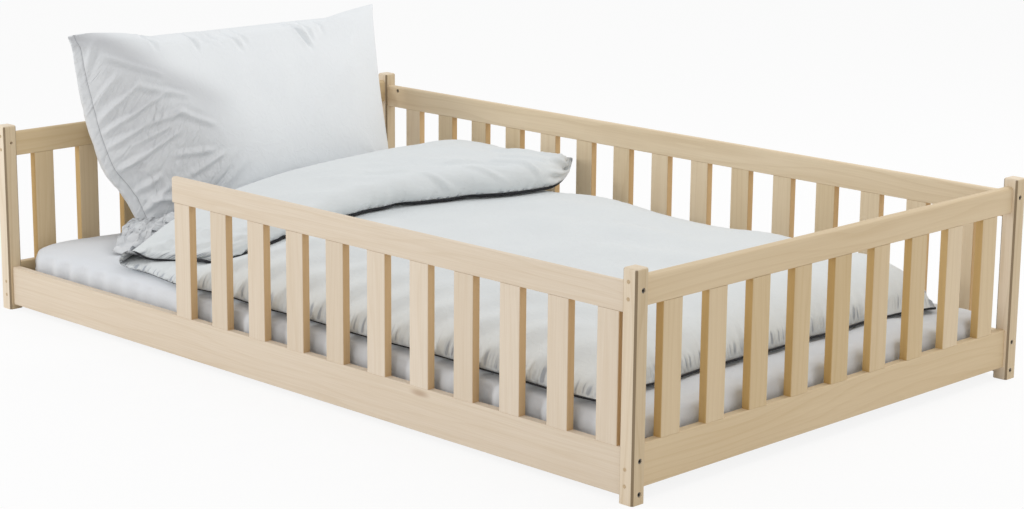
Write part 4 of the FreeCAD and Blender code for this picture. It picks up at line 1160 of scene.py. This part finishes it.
def makeCaseEnd(q):
    piece = newGrid("pillowcaseEnd", q["around"], q["out"])
    raw = readPoints(piece)
    s, t = raw[:, 0] + 0.5, raw[:, 1] + 0.5
    points = caseEndPoints(q, s, t)
    writePoints(piece, points)
    along, out = q["crumpled"]
    crumple = waviness(s * along, t * out, *q["crumpleLengths"], 54, 5, sawtooth)
    crumple *= between(q["facetsAtSeam"], 1, t)
    points = points + readNormals(piece) * (q["facets"] * crumple)[:, None]
    points[:, 2] = np.maximum(points[:, 2], q["rest"])
    points[:, 0] = np.minimum(points[:, 0], q["duvetSide"])
    writePoints(piece, points)
    bpy.ops.object.shade_smooth()
    scaleUv(piece, *q["cut"])
    wall = piece.modifiers.new("cloth thickness", "SOLIDIFY")
    wall.thickness, wall.offset = q["thick"], 1.0
    bpy.ops.object.modifier_apply(modifier=wall.name)
    dress(piece, caseEndMaterial(q))
    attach(piece, "pillow")


makeCaseEnd(caseEnd)

studio = {
    "sky": 0.74,
    "floorSize": 30, "floor": (0.93, 0.93, 0.93, 1),
    "glow": 0.86,                                      # how much of the floor shows as plain white
    "lamps": {                                         # place, aim, power and side
        "softKey": ((1.6, 2.6, 3.4), (-0.1, 0, 0.2), 52.0, 2.4),
        "sideLamp": ((-2.4, -4.2, 1.9), (0, -0.4, 0.2), 42.0, 0.9),
    },
}
white = (1, 1, 1, 1)


def seenDirectly(w):
    # 1 for what the camera sees, also in a mirror or through glass, and 0 for light on its way
    path = w.add("ShaderNodeLightPath").outputs
    mirrored = w.maths("MAXIMUM", path["Is Glossy Ray"], path["Is Transmission Ray"])
    return w.maths("MAXIMUM", path["Is Camera Ray"], mirrored)


def addFloor(s):
    bpy.ops.object.select_all(action="DESELECT")
    bpy.ops.mesh.primitive_plane_add(size=s["floorSize"], location=(0, 0, 0))
    floor = bpy.context.object
    floor.name = "studioFloor"
    material = bpy.data.materials.new("paleFloor")
    material.use_nodes = True
    tree = material.node_tree
    tree.nodes.clear()
    w = Wires(tree)
    paint = w.add("ShaderNodeBsdfDiffuse", {"Color": s["floor"]}).outputs[0]
    glow = w.add("ShaderNodeEmission", {"Color": white, "Strength": 1.0}).outputs[0]
    blend = w.add("ShaderNodeMixShader", {0: w.times(seenDirectly(w), s["glow"]), 1: paint, 2: glow})
    w.add("ShaderNodeOutputMaterial", {"Surface": blend.outputs[0]})
    dress(floor, material)


def addSky(s):
    world = bpy.data.worlds.new("paleStudio")
    bpy.context.scene.world = world
    world.use_nodes = True
    tree = world.node_tree
    tree.nodes.clear()
    w = Wires(tree)
    light = w.add("ShaderNodeBackground", {"Color": white, "Strength": s["sky"]}).outputs[0]
    plain = w.add("ShaderNodeBackground", {"Color": white, "Strength": 1.0}).outputs[0]
    blend = w.add("ShaderNodeMixShader", {0: seenDirectly(w), 1: light, 2: plain})
    w.add("ShaderNodeOutputWorld", {"Surface": blend.outputs[0]})


def addLamp(name, place, aim, power, side):
    lamp = bpy.data.lights.new(name, "AREA")
    lamp.shape = "RECTANGLE"
    lamp.size = lamp.size_y = side
    lamp.energy = power
    holder = bpy.data.objects.new(name, lamp)
    bpy.context.collection.objects.link(holder)
    holder.location = place
    holder.rotation_euler = (Vector(aim) - Vector(place)).to_track_quat("-Z", "Y").to_euler()


addFloor(studio)
addSky(studio)
for lampName, lampValues in studio["lamps"].items():
    addLamp(lampName, *lampValues)
print("studio lit")
